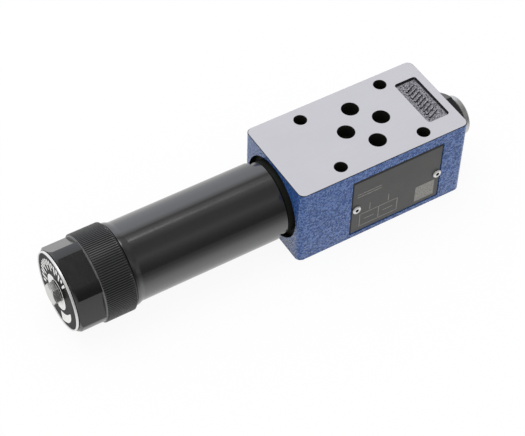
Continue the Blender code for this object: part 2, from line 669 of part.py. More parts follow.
def make_spindle(material):
    """Spindle with thrust collar, thread, stop ring groove and hexagonal drive end."""
    edge = TURNED_EDGE
    floor_r = SPINDLE_R - STOP_GROOVE_DEPTH
    groove_start = STOP_RING_X - RUN_GAP
    groove_end = STOP_RING_X + STOP_RING_WIDTH + RUN_GAP
    profile = [(SPINDLE_END_X, SPINDLE_R), (COLLAR_OUTER_X, SPINDLE_R),
               (COLLAR_OUTER_X, SPINDLE_COLLAR_R), (COLLAR_INNER_X, SPINDLE_COLLAR_R),
               (COLLAR_INNER_X, SPINDLE_R), (groove_start, SPINDLE_R), (groove_start, floor_r),
               (groove_end, floor_r), (groove_end, SPINDLE_R),
               (SPINDLE_TIP_X - edge, SPINDLE_R), (SPINDLE_TIP_X, SPINDLE_R - edge)]
    spindle = on_axis("adjusting_spindle", turned("adjusting_spindle", profile), material)
    cut(spindle, flats_cutter(SPINDLE_HEX, KNOB_HEX_TURN, SPINDLE_END_X - OVER,
                              SPINDLE_HEX_X, SPINDLE_R), at=AXIS)
    tapped_r = KNOB_SCREW_SHANK_R + SEAT_GAP
    tapped_end = KNOB_SCREW_X + KNOB_SCREW_SHANK_LENGTH + SEAT_GAP
    cut(spindle, turned("tapped_hole", [(SPINDLE_END_X - OVER, tapped_r),
                                        (tapped_end, tapped_r)], SMALL_SIDES), at=AXIS)


def make_stop_ring(material):
    """Ring clipped into the spindle's groove; it ends the spring seat's travel."""
    bore_r = SPINDLE_R - STOP_GROOVE_DEPTH + RUN_GAP
    end = STOP_RING_X + STOP_RING_WIDTH
    profile = [(STOP_RING_X, STOP_RING_R), (end, STOP_RING_R), (end, bore_r),
               (STOP_RING_X, bore_r)]
    ring = on_axis("seat_stop_ring", turned("seat_stop_ring", profile, RING_SIDES, True), material)
    half = STOP_RING_SLOT / 2
    gap = [(-half, 0.0), (half, 0.0), (half, -STOP_RING_R - OVER), (-half, -STOP_RING_R - OVER)]
    cut(ring, prism("ring_gap", gap, STOP_RING_X - OVER, end + OVER), at=AXIS)


def make_spring_seat(material):
    """Threaded disc on the spindle, kept from turning by the rib in the sleeve."""
    edge = TURNED_EDGE
    bore_r = SPINDLE_R + RUN_GAP
    hub_end = SEAT_INNER_X + SPRING_SEAT_HUB_LENGTH
    profile = [(SEAT_OUTER_X, SPRING_SEAT_R - edge), (SEAT_OUTER_X + edge, SPRING_SEAT_R),
               (SEAT_INNER_X - edge, SPRING_SEAT_R), (SEAT_INNER_X, SPRING_SEAT_R - edge),
               (SEAT_INNER_X, SPRING_SEAT_HUB_R), (hub_end, SPRING_SEAT_HUB_R),
               (hub_end, bore_r), (SEAT_OUTER_X, bore_r)]
    seat = on_axis("threaded_spring_seat", turned("threaded_spring_seat", profile, SIDES, True),
                   material)
    half = SLEEVE_KEY_WIDTH / 2 + RUN_GAP
    floor = SLEEVE_KEY_R - SEAT_GAP
    slot = [(-half, floor), (half, floor), (half, SPRING_SEAT_R + OVER),
            (-half, SPRING_SEAT_R + OVER)]
    cut(seat, prism("key_slot", slot, SEAT_OUTER_X - OVER, SEAT_INNER_X + OVER), at=AXIS)


def make_spring(material):
    """Helical compression spring with closed end turns."""
    steps_a_turn = 14
    wire_sides = 6
    start = SEAT_INNER_X + SEAT_GAP + SPRING_WIRE_R
    end = SPRING_PLATE_FACE_X - SEAT_GAP - SPRING_WIRE_R
    closed_pitch = 2 * SPRING_WIRE_R + SPRING_COIL_GAP
    open_pitch = (end - start - 2 * closed_pitch) / (SPRING_TURNS - 2)
    rings = []
    for i in range(SPRING_TURNS * steps_a_turn + 1):
        turns = i / steps_a_turn
        advance = closed_pitch * min(turns, 1.0)
        advance += open_pitch * min(max(turns - 1.0, 0.0), SPRING_TURNS - 2)
        advance += closed_pitch * max(turns - (SPRING_TURNS - 1), 0.0)
        angle = 360.0 * turns
        ring = []
        for j in range(wire_sides):
            around = 2 * math.pi * (j + 0.5) / wire_sides
            radius = SPRING_MEAN_R + SPRING_WIRE_R * math.cos(around)
            ring.append((start + advance + SPRING_WIRE_R * math.sin(around),
                         *polar(radius, angle)))
        rings.append(ring)
    on_axis("setting_spring", rings_mesh("setting_spring", rings), material)


def make_spring_plate(material):
    """Disc that carries the spring and bears on the nose of the spool."""
    boss_end = SPRING_PLATE_FACE_X - SPRING_PLATE_BOSS_LENGTH
    nose_floor = SPOOL_LEFT_X - SPOOL_NOSE_LENGTH - SEAT_GAP
    profile = [(boss_end, SPRING_PLATE_BOSS_R), (SPRING_PLATE_FACE_X, SPRING_PLATE_BOSS_R),
               (SPRING_PLATE_FACE_X, SPRING_PLATE_R), (SPRING_PLATE_X, SPRING_PLATE_R),
               (SPRING_PLATE_X, SPOOL_NOSE_R + SEAT_GAP), (nose_floor, SPOOL_NOSE_R + SEAT_GAP)]
    on_axis("spool_spring_plate", turned("spool_spring_plate", profile), material)


def make_spool(material):
    """Control spool: two lands with balance grooves, a waist and a drilled pressure end."""
    edge = TURNED_EDGE
    nose_end = SPOOL_LEFT_X - SPOOL_NOSE_LENGTH
    profile = [(nose_end, SPOOL_NOSE_R - edge), (nose_end + edge, SPOOL_NOSE_R),
               (SPOOL_LEFT_X, SPOOL_NOSE_R), (SPOOL_LEFT_X, SPOOL_R - edge),
               (SPOOL_LEFT_X + edge, SPOOL_R), (SPOOL_WAIST_START, SPOOL_R),
               (SPOOL_WAIST_START, SPOOL_WAIST_R), (SPOOL_WAIST_END, SPOOL_WAIST_R),
               (SPOOL_WAIST_END, SPOOL_R)]
    floor_r = SPOOL_R - BALANCE_GROOVE_DEPTH
    for i in range(BALANCE_GROOVES):
        start = SPOOL_WAIST_END + BALANCE_GROOVE_MARGIN + BALANCE_GROOVE_PITCH * i
        end = start + BALANCE_GROOVE_WIDTH
        profile += [(start, SPOOL_R), (start, floor_r), (end, floor_r), (end, SPOOL_R)]
    profile += [(SPOOL_RIGHT_X - edge, SPOOL_R), (SPOOL_RIGHT_X, SPOOL_R - edge)]
    spool = on_axis("control_spool", turned("control_spool", profile), material)
    seat_r = ORIFICE_R + SEAT_GAP
    seat_x = SPOOL_RIGHT_X - ORIFICE_LENGTH - SEAT_GAP
    middle_x = (SPOOL_WAIST_START + SPOOL_WAIST_END) / 2
    drilling = [(middle_x - 2 * SPOOL_DRILLING_R, SPOOL_DRILLING_R), (seat_x, SPOOL_DRILLING_R),
                (seat_x, seat_r), (SPOOL_RIGHT_X + OVER, seat_r)]
    cut(spool, turned("drilling", drilling, SMALL_SIDES), at=AXIS)
    reach = SPOOL_WAIST_R + OVER
    cut(spool, cylinder_between("cross_hole", (middle_x, 0.0, BORE_HEIGHT - reach),
                                (middle_x, 0.0, BORE_HEIGHT + reach), SPOOL_CROSS_HOLE_R,
                                SMALL_SIDES))


def make_orifice(material):
    end = SPOOL_RIGHT_X - SEAT_GAP
    start = end - ORIFICE_LENGTH + SEAT_GAP
    profile = [(start, ORIFICE_R), (end, ORIFICE_R), (end, ORIFICE_HOLE_R),
               (start, ORIFICE_HOLE_R)]
    on_axis("spool_orifice", turned("spool_orifice", profile, SMALL_SIDES, True), material)


def knurl_ring(radius, x):
    """Points round the knurl: a rib top and a groove bottom in turn."""
    ring = []
    for i in range(2 * KNOB_RIBS):
        depth = KNOB_KNURL_DEPTH if i % 2 else 0.0
        ring.append((x, *polar(radius - depth, 180.0 * i / KNOB_RIBS)))
    return ring


def make_knob(material):
    """Knob: a hexagon in front of a knurled ring, hollow behind round its hub."""
    hexagon_mesh = prism("adjusting_knob", hexagon(KNOB_HEX, KNOB_HEX_TURN),
                         KNOB_FRONT_X - OVER, KNOB_SHOULDER_X + OVER)
    knob = on_axis("adjusting_knob", hexagon_mesh, material)
    blank = [(KNOB_FRONT_X, KNOB_HEX_ROUND_R - KNOB_FRONT_CHAMFER),
             (KNOB_FRONT_X + KNOB_FRONT_CHAMFER, KNOB_HEX_ROUND_R),
             (KNOB_SHOULDER_X + 2 * OVER, KNOB_HEX_ROUND_R)]
    with_tool(knob, turned("hexagon_blank", blank, FINE_SIDES), "INTERSECT", at=AXIS)

    edge = KNOB_KNURL_CHAMFER
    rings = [knurl_ring(KNOB_KNURL_R - edge, KNOB_SHOULDER_X),
             knurl_ring(KNOB_KNURL_R, KNOB_SHOULDER_X + edge),
             knurl_ring(KNOB_KNURL_R, KNOB_BACK_X - edge),
             knurl_ring(KNOB_KNURL_R - edge, KNOB_BACK_X)]
    with_tool(knob, rings_mesh("knurled_ring", rings), "UNION", at=AXIS)

    recess_floor = KNOB_BACK_X - KNOB_BACK_RECESS_DEPTH
    recess = [(recess_floor, KNOB_BACK_RECESS_R), (KNOB_BACK_X + OVER, KNOB_BACK_RECESS_R),
              (KNOB_BACK_X + OVER, KNOB_HUB_R), (recess_floor, KNOB_HUB_R)]
    cut(knob, turned("back_recess", recess, SIDES, True), at=AXIS)
    spindle_r = SPINDLE_R + SEAT_GAP
    cut(knob, turned("spindle_bore", [(SPINDLE_HEX_X - SEAT_GAP, spindle_r),
                                      (KNOB_BACK_X + OVER, spindle_r)]), at=AXIS)
    drive = hexagon(SPINDLE_HEX + 2 * SEAT_GAP, KNOB_HEX_TURN)
    cut(knob, prism("drive_hexagon", drive, KNOB_FRONT_X - OVER, SPINDLE_HEX_X), at=AXIS)


def make_dial(plate_material, ring_material):
    """Printed disc on the knob's front face, inside a raised bright ring."""
    dial_r = DIAL_RING_BORE_R - SEAT_GAP
    hole_r = KNOB_SCREW_SHANK_R + SEAT_GAP
    profile = [(DIAL_FRONT_X, dial_r), (DIAL_BACK_X, dial_r), (DIAL_BACK_X, hole_r),
               (DIAL_FRONT_X, hole_r)]
    on_axis("dial_plate", turned("dial_plate", profile, FINE_SIDES, True), plate_material)
    front = DIAL_BACK_X - DIAL_RING_THICKNESS
    edge = DIAL_RING_CHAMFER
    profile = [(DIAL_BACK_X, DIAL_RING_R), (front + edge, DIAL_RING_R),
               (front, DIAL_RING_R - edge), (front, DIAL_RING_BORE_R + edge),
               (front + edge, DIAL_RING_BORE_R), (DIAL_BACK_X, DIAL_RING_BORE_R)]
    on_axis("dial_ring", turned("dial_ring", profile, FINE_SIDES, True), ring_material)


def make_knob_screw(material):
    """Hexagon screw that holds the knob and the dial on the spindle."""
    front = KNOB_SCREW_X - KNOB_SCREW_HEAD
    screw = on_axis("knob_screw", prism("knob_screw", hexagon(KNOB_SCREW_HEX, 0.0),
                                        front - OVER, KNOB_SCREW_X), material)
    chamfer_r = HEX_CHAMFER_SHARE * KNOB_SCREW_HEX
    corner_r = KNOB_SCREW_HEX / math.sqrt(3.0)
    drop = (corner_r - chamfer_r) * math.tan(math.radians(KNOB_SCREW_CHAMFER_ANGLE))
    blank = [(front, chamfer_r), (front + drop, corner_r), (front + drop, corner_r + OVER),
             (KNOB_SCREW_X + OVER, corner_r + OVER)]
    with_tool(screw, turned("head_blank", blank), "INTERSECT", at=AXIS)
    shank = [(KNOB_SCREW_X - OVER, KNOB_SCREW_SHANK_R),
             (KNOB_SCREW_X + KNOB_SCREW_SHANK_LENGTH, KNOB_SCREW_SHANK_R)]
    with_tool(screw, turned("shank", shank, SMALL_SIDES), "UNION", at=AXIS)


def make_end_plug(material, seal_material):
    """Hexagon plug screwed into the block, with the gauge port through its head."""
    plug = on_axis("end_plug", prism("end_plug", hexagon(PLUG_HEX, PLUG_HEX_TURN), PLUG_HEX_X,
                                     PLUG_OUTER_X + OVER), material)
    corner_r = PLUG_HEX / math.sqrt(3.0)
    chamfer_r = HEX_CHAMFER_SHARE * PLUG_HEX
    drop = (corner_r - chamfer_r) * math.tan(math.radians(PLUG_CHAMFER_ANGLE))
    blank = [(PLUG_HEX_X - OVER, corner_r + OVER), (PLUG_OUTER_X - drop, corner_r + OVER),
             (PLUG_OUTER_X - drop, corner_r), (PLUG_OUTER_X, chamfer_r)]
    with_tool(plug, turned("hexagon_blank", blank, FINE_SIDES), "INTERSECT", at=AXIS)
    edge = PLUG_THREAD_CHAMFER
    shank = [(PLUG_INNER_X, PLUG_THREAD_R - edge), (PLUG_INNER_X + edge, PLUG_THREAD_R),
             (PLUG_HEX_X + OVER, PLUG_THREAD_R)]
    with_tool(plug, turned("thread", shank), "UNION", at=AXIS)
    port_floor = PLUG_OUTER_X - GAUGE_PORT_DEPTH
    port = [(PLUG_INNER_X - OVER, GAUGE_DRILLING_R), (port_floor, GAUGE_DRILLING_R),
            (port_floor, GAUGE_PORT_R), (PLUG_OUTER_X + OVER, GAUGE_PORT_R)]
    cut(plug, turned("gauge_port", port, RING_SIDES), at=AXIS)

    start = BODY_RIGHT + SEAT_GAP
    end = start + PLUG_SEAL_THICKNESS
    bore_r = PLUG_THREAD_R + SEAT_GAP
    profile = [(start, PLUG_SEAL_R), (end, PLUG_SEAL_R), (end, bore_r), (start, bore_r)]
    on_axis("end_plug_seal", turned("end_plug_seal", profile, SIDES, True), seal_material)


def make_gauge_screw(material, seal_material):
    """Screw with a collar and a hexagon socket that closes the gauge port."""
    shank_r = GAUGE_PORT_R - SEAT_GAP
    edge = GAUGE_COLLAR_CHAMFER
    tip = GAUGE_COLLAR_X - GAUGE_SHANK_LENGTH
    profile = [(tip, shank_r - edge), (tip + edge, shank_r), (GAUGE_COLLAR_X, shank_r),
               (GAUGE_COLLAR_X, GAUGE_COLLAR_R), (GAUGE_END_X - edge, GAUGE_COLLAR_R),
               (GAUGE_END_X, GAUGE_COLLAR_R - edge)]
    screw = on_axis("gauge_screw", turned("gauge_screw", profile, SIDES), material)
    cut(screw, prism("key_socket", hexagon(GAUGE_SOCKET, 30.0),
                     GAUGE_END_X - GAUGE_SOCKET_DEPTH, GAUGE_END_X + OVER), at=AXIS)
    start = PLUG_OUTER_X + SEAT_GAP
    end = start + GAUGE_SEAL_THICKNESS
    profile = [(start, GAUGE_SEAL_R), (end, GAUGE_SEAL_R), (end, GAUGE_PORT_R),
               (start, GAUGE_PORT_R)]
    on_axis("gauge_screw_seal", turned("gauge_screw_seal", profile, SIDES, True), seal_material)


def main():
    clear_scene()
    painted_iron = make_material("painted_cast_iron", (0.13, 0.18, 0.32), 0.5, 0.0)
    black_steel = make_material("black_oxide_steel", (0.03, 0.03, 0.032), 0.32, 0.6)
    black_knob = make_material("black_anodised_knob", (0.025, 0.025, 0.027), 0.35, 0.3)
    bright_steel = make_material("bright_steel", (0.62, 0.62, 0.63), 0.28, 1.0)
    zinc_steel = make_material("zinc_plated_steel", (0.66, 0.67, 0.68), 0.35, 1.0)
    spring_steel = make_material("spring_steel", (0.22, 0.22, 0.23), 0.4, 1.0)
    bronze = make_material("bronze", (0.5, 0.33, 0.16), 0.4, 1.0)
    rubber = make_material("black_rubber", (0.02, 0.02, 0.02), 0.6, 0.0)
    plate_metal = make_material("grey_nameplate", (0.1, 0.1, 0.1), 0.45, 0.4)
    dial_print = make_material("black_dial", (0.02, 0.02, 0.02), 0.4, 0.0)

    make_body(painted_iron)
    make_port_seals(rubber)
    make_nameplate(plate_metal)
    make_rivets(zinc_steel)
    make_sleeve(black_steel)
    make_sleeve_seal(rubber)
    make_bearing_pieces(bright_steel, bronze, rubber)
    make_spindle(bright_steel)
    make_stop_ring(spring_steel)
    make_spring_seat(bright_steel)
    make_spring(spring_steel)
    make_spring_plate(bright_steel)
    make_spool(bright_steel)
    make_orifice(bright_steel)
    make_knob(black_knob)
    make_dial(dial_print, zinc_steel)
    make_knob_screw(bright_steel)
    make_end_plug(black_steel, rubber)
    make_gauge_screw(zinc_steel, zinc_steel)


main()
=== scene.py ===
import math

import bmesh
import bpy
from mathutils import Matrix, Vector


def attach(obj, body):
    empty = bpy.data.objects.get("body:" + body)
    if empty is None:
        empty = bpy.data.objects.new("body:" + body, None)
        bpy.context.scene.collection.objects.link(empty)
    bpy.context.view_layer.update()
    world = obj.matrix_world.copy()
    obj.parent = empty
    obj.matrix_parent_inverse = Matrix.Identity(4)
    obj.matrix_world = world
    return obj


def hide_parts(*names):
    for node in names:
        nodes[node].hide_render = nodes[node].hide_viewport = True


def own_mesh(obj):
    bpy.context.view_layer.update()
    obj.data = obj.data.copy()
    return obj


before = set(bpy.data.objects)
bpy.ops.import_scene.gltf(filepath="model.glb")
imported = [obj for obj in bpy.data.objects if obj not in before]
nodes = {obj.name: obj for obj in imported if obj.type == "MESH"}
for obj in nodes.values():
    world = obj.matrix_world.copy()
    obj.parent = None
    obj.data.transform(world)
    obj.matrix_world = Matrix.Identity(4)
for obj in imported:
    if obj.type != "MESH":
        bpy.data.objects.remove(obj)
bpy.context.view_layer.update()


# The valve block
# A cast iron block, painted blue outside. Its top and bottom are ground bright, and the
# ports, bolt holes and bores are machined through the casting after the paint.
BLOCK_LEFT = -0.04325
BLOCK_RIGHT = 0.03975
BLOCK_FRONT = -0.022
BLOCK_BACK = 0.022
BLOCK_TOP = 0.040
BORE_Z = 0.020
CORNER_R = 0.0028
GROUND_EDGE = 0.00022
BOLT_HOLES = ((-0.02025, -0.0155), (0.02025, -0.01625),
              (0.02025, 0.01625), (-0.02025, 0.0155))
BOLT_HOLE_R = 0.00275
PORTS = {"p": (0.00125, 0.0104), "t": (0.00125, -0.0104),
         "a": (-0.00755, 0.0), "b": (0.00995, 0.0)}
PORT_R = 0.0037
COUNTERBORE_R = 0.0064
COUNTERBORE_DEPTH = 0.00165
POCKET_X = 0.03065
POCKET_WIDTH = 0.0108
POCKET_LENGTH = 0.0258
POCKET_FLOOR = BLOCK_TOP - 0.0013
SHARP = 15.0


class Wire:
    """A socket of a finish. Sums and products of wires add the Math nodes they need."""

    def __init__(self, tree, socket=None):
        self.tree = tree
        self.socket = socket

    def node(self, kind, settings=(), sockets=(), out=0):
        """Add a node: its settings first, then the values or links of its sockets."""
        made = self.tree.nodes.new("ShaderNode" + kind)
        for name, value in dict(settings).items():
            if name == "stops":
                ramp = made.color_ramp.elements
                while len(ramp) < len(value):
                    ramp.new(1.0)
                for stop, (place, colour) in zip(ramp, value):
                    stop.position = place
                    stop.color = (*colour, 1.0)
            else:
                setattr(made, name, value)
        for name, value in dict(sockets).items():
            if isinstance(value, Wire):
                self.tree.links.new(value.socket, made.inputs[name])
            else:
                made.inputs[name].default_value = value
        return Wire(self.tree, made.outputs[out])

    def maths(self, operation, *values):
        return self.node("Math", {"operation": operation}, enumerate(values))

    def __add__(self, other):
        return self.maths("ADD", self, other)

    __radd__ = __add__

    def __sub__(self, other):
        return self.maths("SUBTRACT", self, other)

    def __rsub__(self, other):
        return self.maths("SUBTRACT", other, self)

    def __mul__(self, other):
        return self.maths("MULTIPLY", self, other)

    __rmul__ = __mul__

    def __abs__(self):
        return self.maths("ABSOLUTE", self)

    def largest(self, other):
        return self.maths("MAXIMUM", self, other)

    def rises(self, start, end):
        """0 below the start, 1 above the end, smooth between."""
        return self.node("MapRange", {"interpolation_type": "SMOOTHSTEP"},
                         {"Value": self, "From Min": start, "From Max": end})

    def blend(self, low, high):
        """A colour between low and high, by this wire."""
        return self.node("Mix", {"data_type": "RGBA"}, {0: self, 6: low, 7: high}, out=2)

    def place(self):
        """Where on the object the surface is, in metres."""
        return self.node("TexCoord", out="Object")

    def along(self, axis):
        """One coordinate of a place or a direction."""
        return self.node("SeparateXYZ", (), {0: self}, axis)

    def stretched(self, x, y, z):
        return self.node("VectorMath", {"operation": "MULTIPLY"}, {0: self, 1: (x, y, z)})

    def noise(self, scale, detail, roughness):
        return self.node("TexNoise", (), {"Vector": self, "Scale": scale, "Detail": detail,
                                          "Roughness": roughness})

    def bump(self, distance, strength):
        return self.node("Bump", (), {"Height": self, "Distance": distance,
                                      "Strength": strength})


def shade(name, looks):
    """A finish whose looks come from a function of its wires; plain numbers stay on the shader."""
    material = bpy.data.materials.new(name)
    material.use_nodes = True
    tree = material.node_tree
    shader = tree.nodes["Principled BSDF"]
    for socket, value in looks(Wire(tree)).items():
        if isinstance(value, Wire):
            tree.links.new(value.socket, shader.inputs[socket])
        else:
            shader.inputs[socket].default_value = value
    return material


def turns(count):
    """Even angles once round."""
    return [2 * math.pi * i / count for i in range(count)]


def skin(name, rings, closed=False, finish=None, crease=SHARP):
    """Skin a row of equal point loops; the ends are capped unless the row is closed."""
    bm = bmesh.new()
    loops = [[bm.verts.new(point) for point in ring] for ring in rings]
    pairs = list(zip(loops, loops[1:])) + ([(loops[-1], loops[0])] if closed else [])
    count = len(loops[0])
    for first, second in pairs:
        for i in range(count):
            j = (i + 1) % count
            bm.faces.new((first[i], first[j], second[j], second[i]))
    if not closed:
        bm.faces.new(loops[0])
        bm.faces.new(loops[-1])
    bmesh.ops.recalc_face_normals(bm, faces=bm.faces)
    mesh = bpy.data.meshes.new(name)
    bm.to_mesh(mesh)
    bm.free()
    if finish is not None:
        mesh.materials.append(finish)
    mesh.shade_smooth()
    mesh.set_sharp_from_angle(angle=math.radians(crease))
    piece = bpy.data.objects.new(name, mesh)
    bpy.context.scene.collection.objects.link(piece)
    return piece


def machined(piece, tools, operation="DIFFERENCE"):
    """Cut the piece with the tools, or join them to it, and throw the tools away."""
    for tool in tools:
        modifier = piece.modifiers.new(tool.name, "BOOLEAN")
        modifier.operation = operation
        modifier.solver = "EXACT"
        modifier.material_mode = "TRANSFER"
        modifier.object = tool
    bpy.context.view_layer.update()
    ready = piece.evaluated_get(bpy.context.evaluated_depsgraph_get())
    mesh = bpy.data.meshes.new_from_object(ready)
    piece.modifiers.clear()
    piece.data = mesh
    for tool in tools:
        bpy.data.objects.remove(tool)
    mesh.shade_smooth()
    mesh.set_sharp_from_angle(angle=math.radians(SHARP))
    return piece


def lying(name, profile, sides, finish, bored_through=False, crease=SHARP):
    """Turn a profile of (x, radius) points about the bore axis of the block."""
    rings = [[(x, r * math.cos(a), BORE_Z + r * math.sin(a)) for a in turns(sides)]
             for x, r in profile]
    return skin(name, rings, bored_through, finish, crease)


def facing(name, profile, x, z, sides, finish, crease=SHARP):
    """Turn a profile of (y, radius) points about an axis square to the block's front."""
    rings = [[(x + r * math.cos(a), y, z + r * math.sin(a)) for a in turns(sides)]
             for y, r in profile]
    return skin(name, rings, finish=finish, crease=crease)


def rounded(width, depth, radius, steps):
    """Outline of a rectangle with round corners, as (u, v) points about its centre."""
    points = []
    for quarter, (su, sv) in enumerate(((1, 1), (-1, 1), (-1, -1), (1, -1))):
        for i in range(steps + 1):
            a = math.radians(90.0 * quarter + 90.0 * i / steps)
            points.append((su * (width / 2 - radius) + radius * math.cos(a),
                           sv * (depth / 2 - radius) + radius * math.sin(a)))
    return points


def painted_casting(wire):
    spot = wire.place()
    grain = spot.noise(1250.0, 2.0, 0.6)
    cloud = spot.noise(160.0, 2.0, 0.5)
    tone = grain.rises(0.38, 0.62) * 0.75 + cloud * 0.25
    return {"Base Color": tone.blend((0.008, 0.046, 0.195, 1), (0.062, 0.172, 0.500, 1)),
            "Roughness": 0.12 + grain * 0.14,
            "IOR": 1.40,
            "Coat Weight": grain.rises(0.44, 0.60) * 0.62,
            "Coat Roughness": 0.10,
            "Coat IOR": 1.80,
            "Normal": grain.bump(0.0013, 1.0)}


def ground_iron(wire):
    spot = wire.place()
    strokes = spot.stretched(60.0, 3200.0, 60.0).noise(1.0, 4.0, 0.65)
    cloud = spot.noise(70.0, 2.0, 0.5)
    # Painted light: the ground faces grow lighter towards the block's far end, as if lit more
    # there.
    painted_light_far_end = spot.along("X") * 4.0
    tone = strokes * 0.6 + cloud * 0.4 + painted_light_far_end
    return {"Base Color": tone.blend((0.545, 0.54, 0.58, 1), (0.63, 0.625, 0.67, 1)),
            "Metallic": 0.25,
            "Roughness": 0.42 + strokes * 0.16,
            "Normal": strokes.bump(0.00002, 0.5)}


# Near black, far darker than bored iron: painted shade inside the bores, ports and holes. The same
# black paints shade on hidden sides and in gaps elsewhere.
def bored_iron_in_painted_shade(wire):
    spot = wire.place()
    rings = spot.stretched(150.0, 150.0, 2400.0).noise(1.0, 2.0, 0.5)
    return {"Base Color": rings.blend((0.008, 0.009, 0.006, 1), (0.018, 0.020, 0.014, 1)),
            "Roughness": 0.65,
            "Specular IOR Level": 0.2,
            "Normal": rings.bump(0.00004, 0.6)}


def bare_casting(wire):
    spot = wire.place()
    grain = spot.noise(1900.0, 3.0, 0.6)
    far_x = abs(spot.along("X") - POCKET_X) - POCKET_WIDTH / 2
    far_y = abs(spot.along("Y")) - POCKET_LENGTH / 2
    # Painted shade: the pocket floor turns near black along its walls.
    painted_shade_at_walls = far_x.rises(-0.0006, -0.0002).largest(far_y.rises(-0.0006, -0.0002))
    speckle = grain.rises(0.38, 0.60).blend((0.035, 0.033, 0.040, 1), (0.42, 0.415, 0.46, 1))
    return {"Base Color": painted_shade_at_walls.blend(speckle, (0.012, 0.012, 0.014, 1)),
            "Roughness": 0.6,
            "Normal": grain.bump(0.0005, 0.9)}


blue_paint = shade("blue_painted_casting", painted_casting)
ground_face = shade("ground_bright_iron", ground_iron)
painted_shade_black = shade("bored_iron_in_painted_shade", bored_iron_in_painted_shade)
raw_cast = shade("raw_casting", bare_casting)

outline = rounded(BLOCK_RIGHT - BLOCK_LEFT, BLOCK_BACK - BLOCK_FRONT, CORNER_R, 10)
middle_x = (BLOCK_LEFT + BLOCK_RIGHT) / 2
layers = ((0.0, GROUND_EDGE), (GROUND_EDGE, 0.0), (BLOCK_TOP - GROUND_EDGE, 0.0),
          (BLOCK_TOP, GROUND_EDGE))
block_rings = []
for z, inset in layers:
    scale_x = 1 - 2 * inset / (BLOCK_RIGHT - BLOCK_LEFT)
    scale_y = 1 - 2 * inset / (BLOCK_BACK - BLOCK_FRONT)
    block_rings.append([(middle_x + u * scale_x, v * scale_y, z) for u, v in outline])
block = skin("block_casting", block_rings, finish=blue_paint)
block.data.materials.append(ground_face)
block.data.materials.append(painted_shade_black)
for face in block.data.polygons:
    if abs(face.normal.z) > 0.99:
        face.material_index = 1
    elif abs(face.normal.z) > 0.1:
        face.material_index = 2

OVER = 0.001
EASED = 0.00018
MOUTH_DEPTH = 0.006


def passage(name, stations, sides=64):
    """A passage through level circles at (x, y, z, radius) stations."""
    rings = [[(x + r * math.cos(a), y + r * math.sin(a), z) for a in turns(sides)]
             for x, y, z, r in stations]
    return skin(name, rings, finish=painted_shade_black)


def top_edge(x, y, radius):
    """The upper end of a hole, with its edge just eased."""
    return [(x, y, BLOCK_TOP - EASED, radius), (x, y, BLOCK_TOP, radius + EASED),
            (x, y, BLOCK_TOP + OVER, radius + EASED)]


def mouth(x, y):
    """The straight upper end of a port whose passage bends below it."""
    return [(x, y, BLOCK_TOP - MOUTH_DEPTH, PORT_R)] + top_edge(x, y, PORT_R)


tools = []
for i, (x, y) in enumerate(BOLT_HOLES):
    foot = [(x, y, -OVER, BOLT_HOLE_R + EASED), (x, y, 0.0, BOLT_HOLE_R + EASED),
            (x, y, EASED, BOLT_HOLE_R)]
    tools.append(passage(f"bolt_hole_{i}", foot + top_edge(x, y, BOLT_HOLE_R), 56))
x, y = PORTS["t"]
tools.append(passage("tank_passage", [(x, y, -OVER, PORT_R)] + top_edge(x, y, PORT_R), 72))
BOW_OUT = 0.0127
for label, aside in (("a", -0.002), ("b", 0.002)):
    x, y = PORTS[label]
    rise = [(x + aside * bow, y - BOW_OUT * bow, z, PORT_R)
            for z, bow in ((-OVER, 0.0), (MOUTH_DEPTH, 0.0), (0.0079, 0.12), (0.0136, 0.88),
                           (0.0155, 1.0), (0.0245, 1.0), (0.0264, 0.88), (0.0321, 0.12))]
    tools.append(passage(f"passage_{label}", rise + mouth(x, y)))
x, y = PORTS["p"]
tools.append(passage("pump_passage", [(x, y, -OVER, PORT_R), (x, y, MOUTH_DEPTH, PORT_R),
                                      (0.007725, 0.00784, 0.01125, 0.00296),
                                      (0.0105, 0.00399, 0.0165, 0.00192)]))
tools.append(passage("outlet_passage", [(x, 0.0035, 0.0234, 0.0028),
                                        (x, 0.0083, 0.0290, 0.0034)] + mouth(x, y)))
RECESS_R = 0.0185
RECESS_FLOOR = BLOCK_LEFT + 0.0028
SLEEVE_BORE_R = 0.0133
SLEEVE_BORE_END = -0.02595
CHAMBER_R = 0.0098
CHAMBER_END = -0.0155
SPOOL_BORE_R = 0.00515
GROOVE_R = 0.007
GROOVES = ((-0.010, -0.006), (0.0085, 0.0125))
PLUG_BORE_R = 0.0091
PLUG_BORE_START = 0.02695
bore_profile = [(BLOCK_LEFT - OVER, RECESS_R), (RECESS_FLOOR, RECESS_R),
                (RECESS_FLOOR, SLEEVE_BORE_R), (SLEEVE_BORE_END, SLEEVE_BORE_R),
                (SLEEVE_BORE_END, CHAMBER_R), (CHAMBER_END, CHAMBER_R),
                (CHAMBER_END, SPOOL_BORE_R)]
for groove_start, groove_end in GROOVES:
    bore_profile += [(groove_start, SPOOL_BORE_R), (groove_start, GROOVE_R),
                     (groove_end, GROOVE_R), (groove_end, SPOOL_BORE_R)]
bore_profile += [(PLUG_BORE_START, SPOOL_BORE_R), (PLUG_BORE_START, PLUG_BORE_R),
                 (BLOCK_RIGHT + OVER, PLUG_BORE_R)]
tools.append(lying("stepped_bore", bore_profile, 96, painted_shade_black))
for label, (x, y) in PORTS.items():
    tools.append(passage(f"seal_counterbore_{label}", [(x, y, -OVER, COUNTERBORE_R),
                                                       (x, y, COUNTERBORE_DEPTH, COUNTERBORE_R)]))

pocket_rings = []
for z, grown in ((POCKET_FLOOR, -0.00025), (POCKET_FLOOR + 0.0003, 0.0),
                 (BLOCK_TOP + OVER, 0.0001)):
    form = rounded(POCKET_WIDTH + 2 * grown, POCKET_LENGTH + 2 * grown, 0.0013 + grown, 8)
    pocket_rings.append([(POCKET_X + u, v, z) for u, v in form])
tools.append(skin("cast_pocket", pocket_rings, finish=raw_cast))

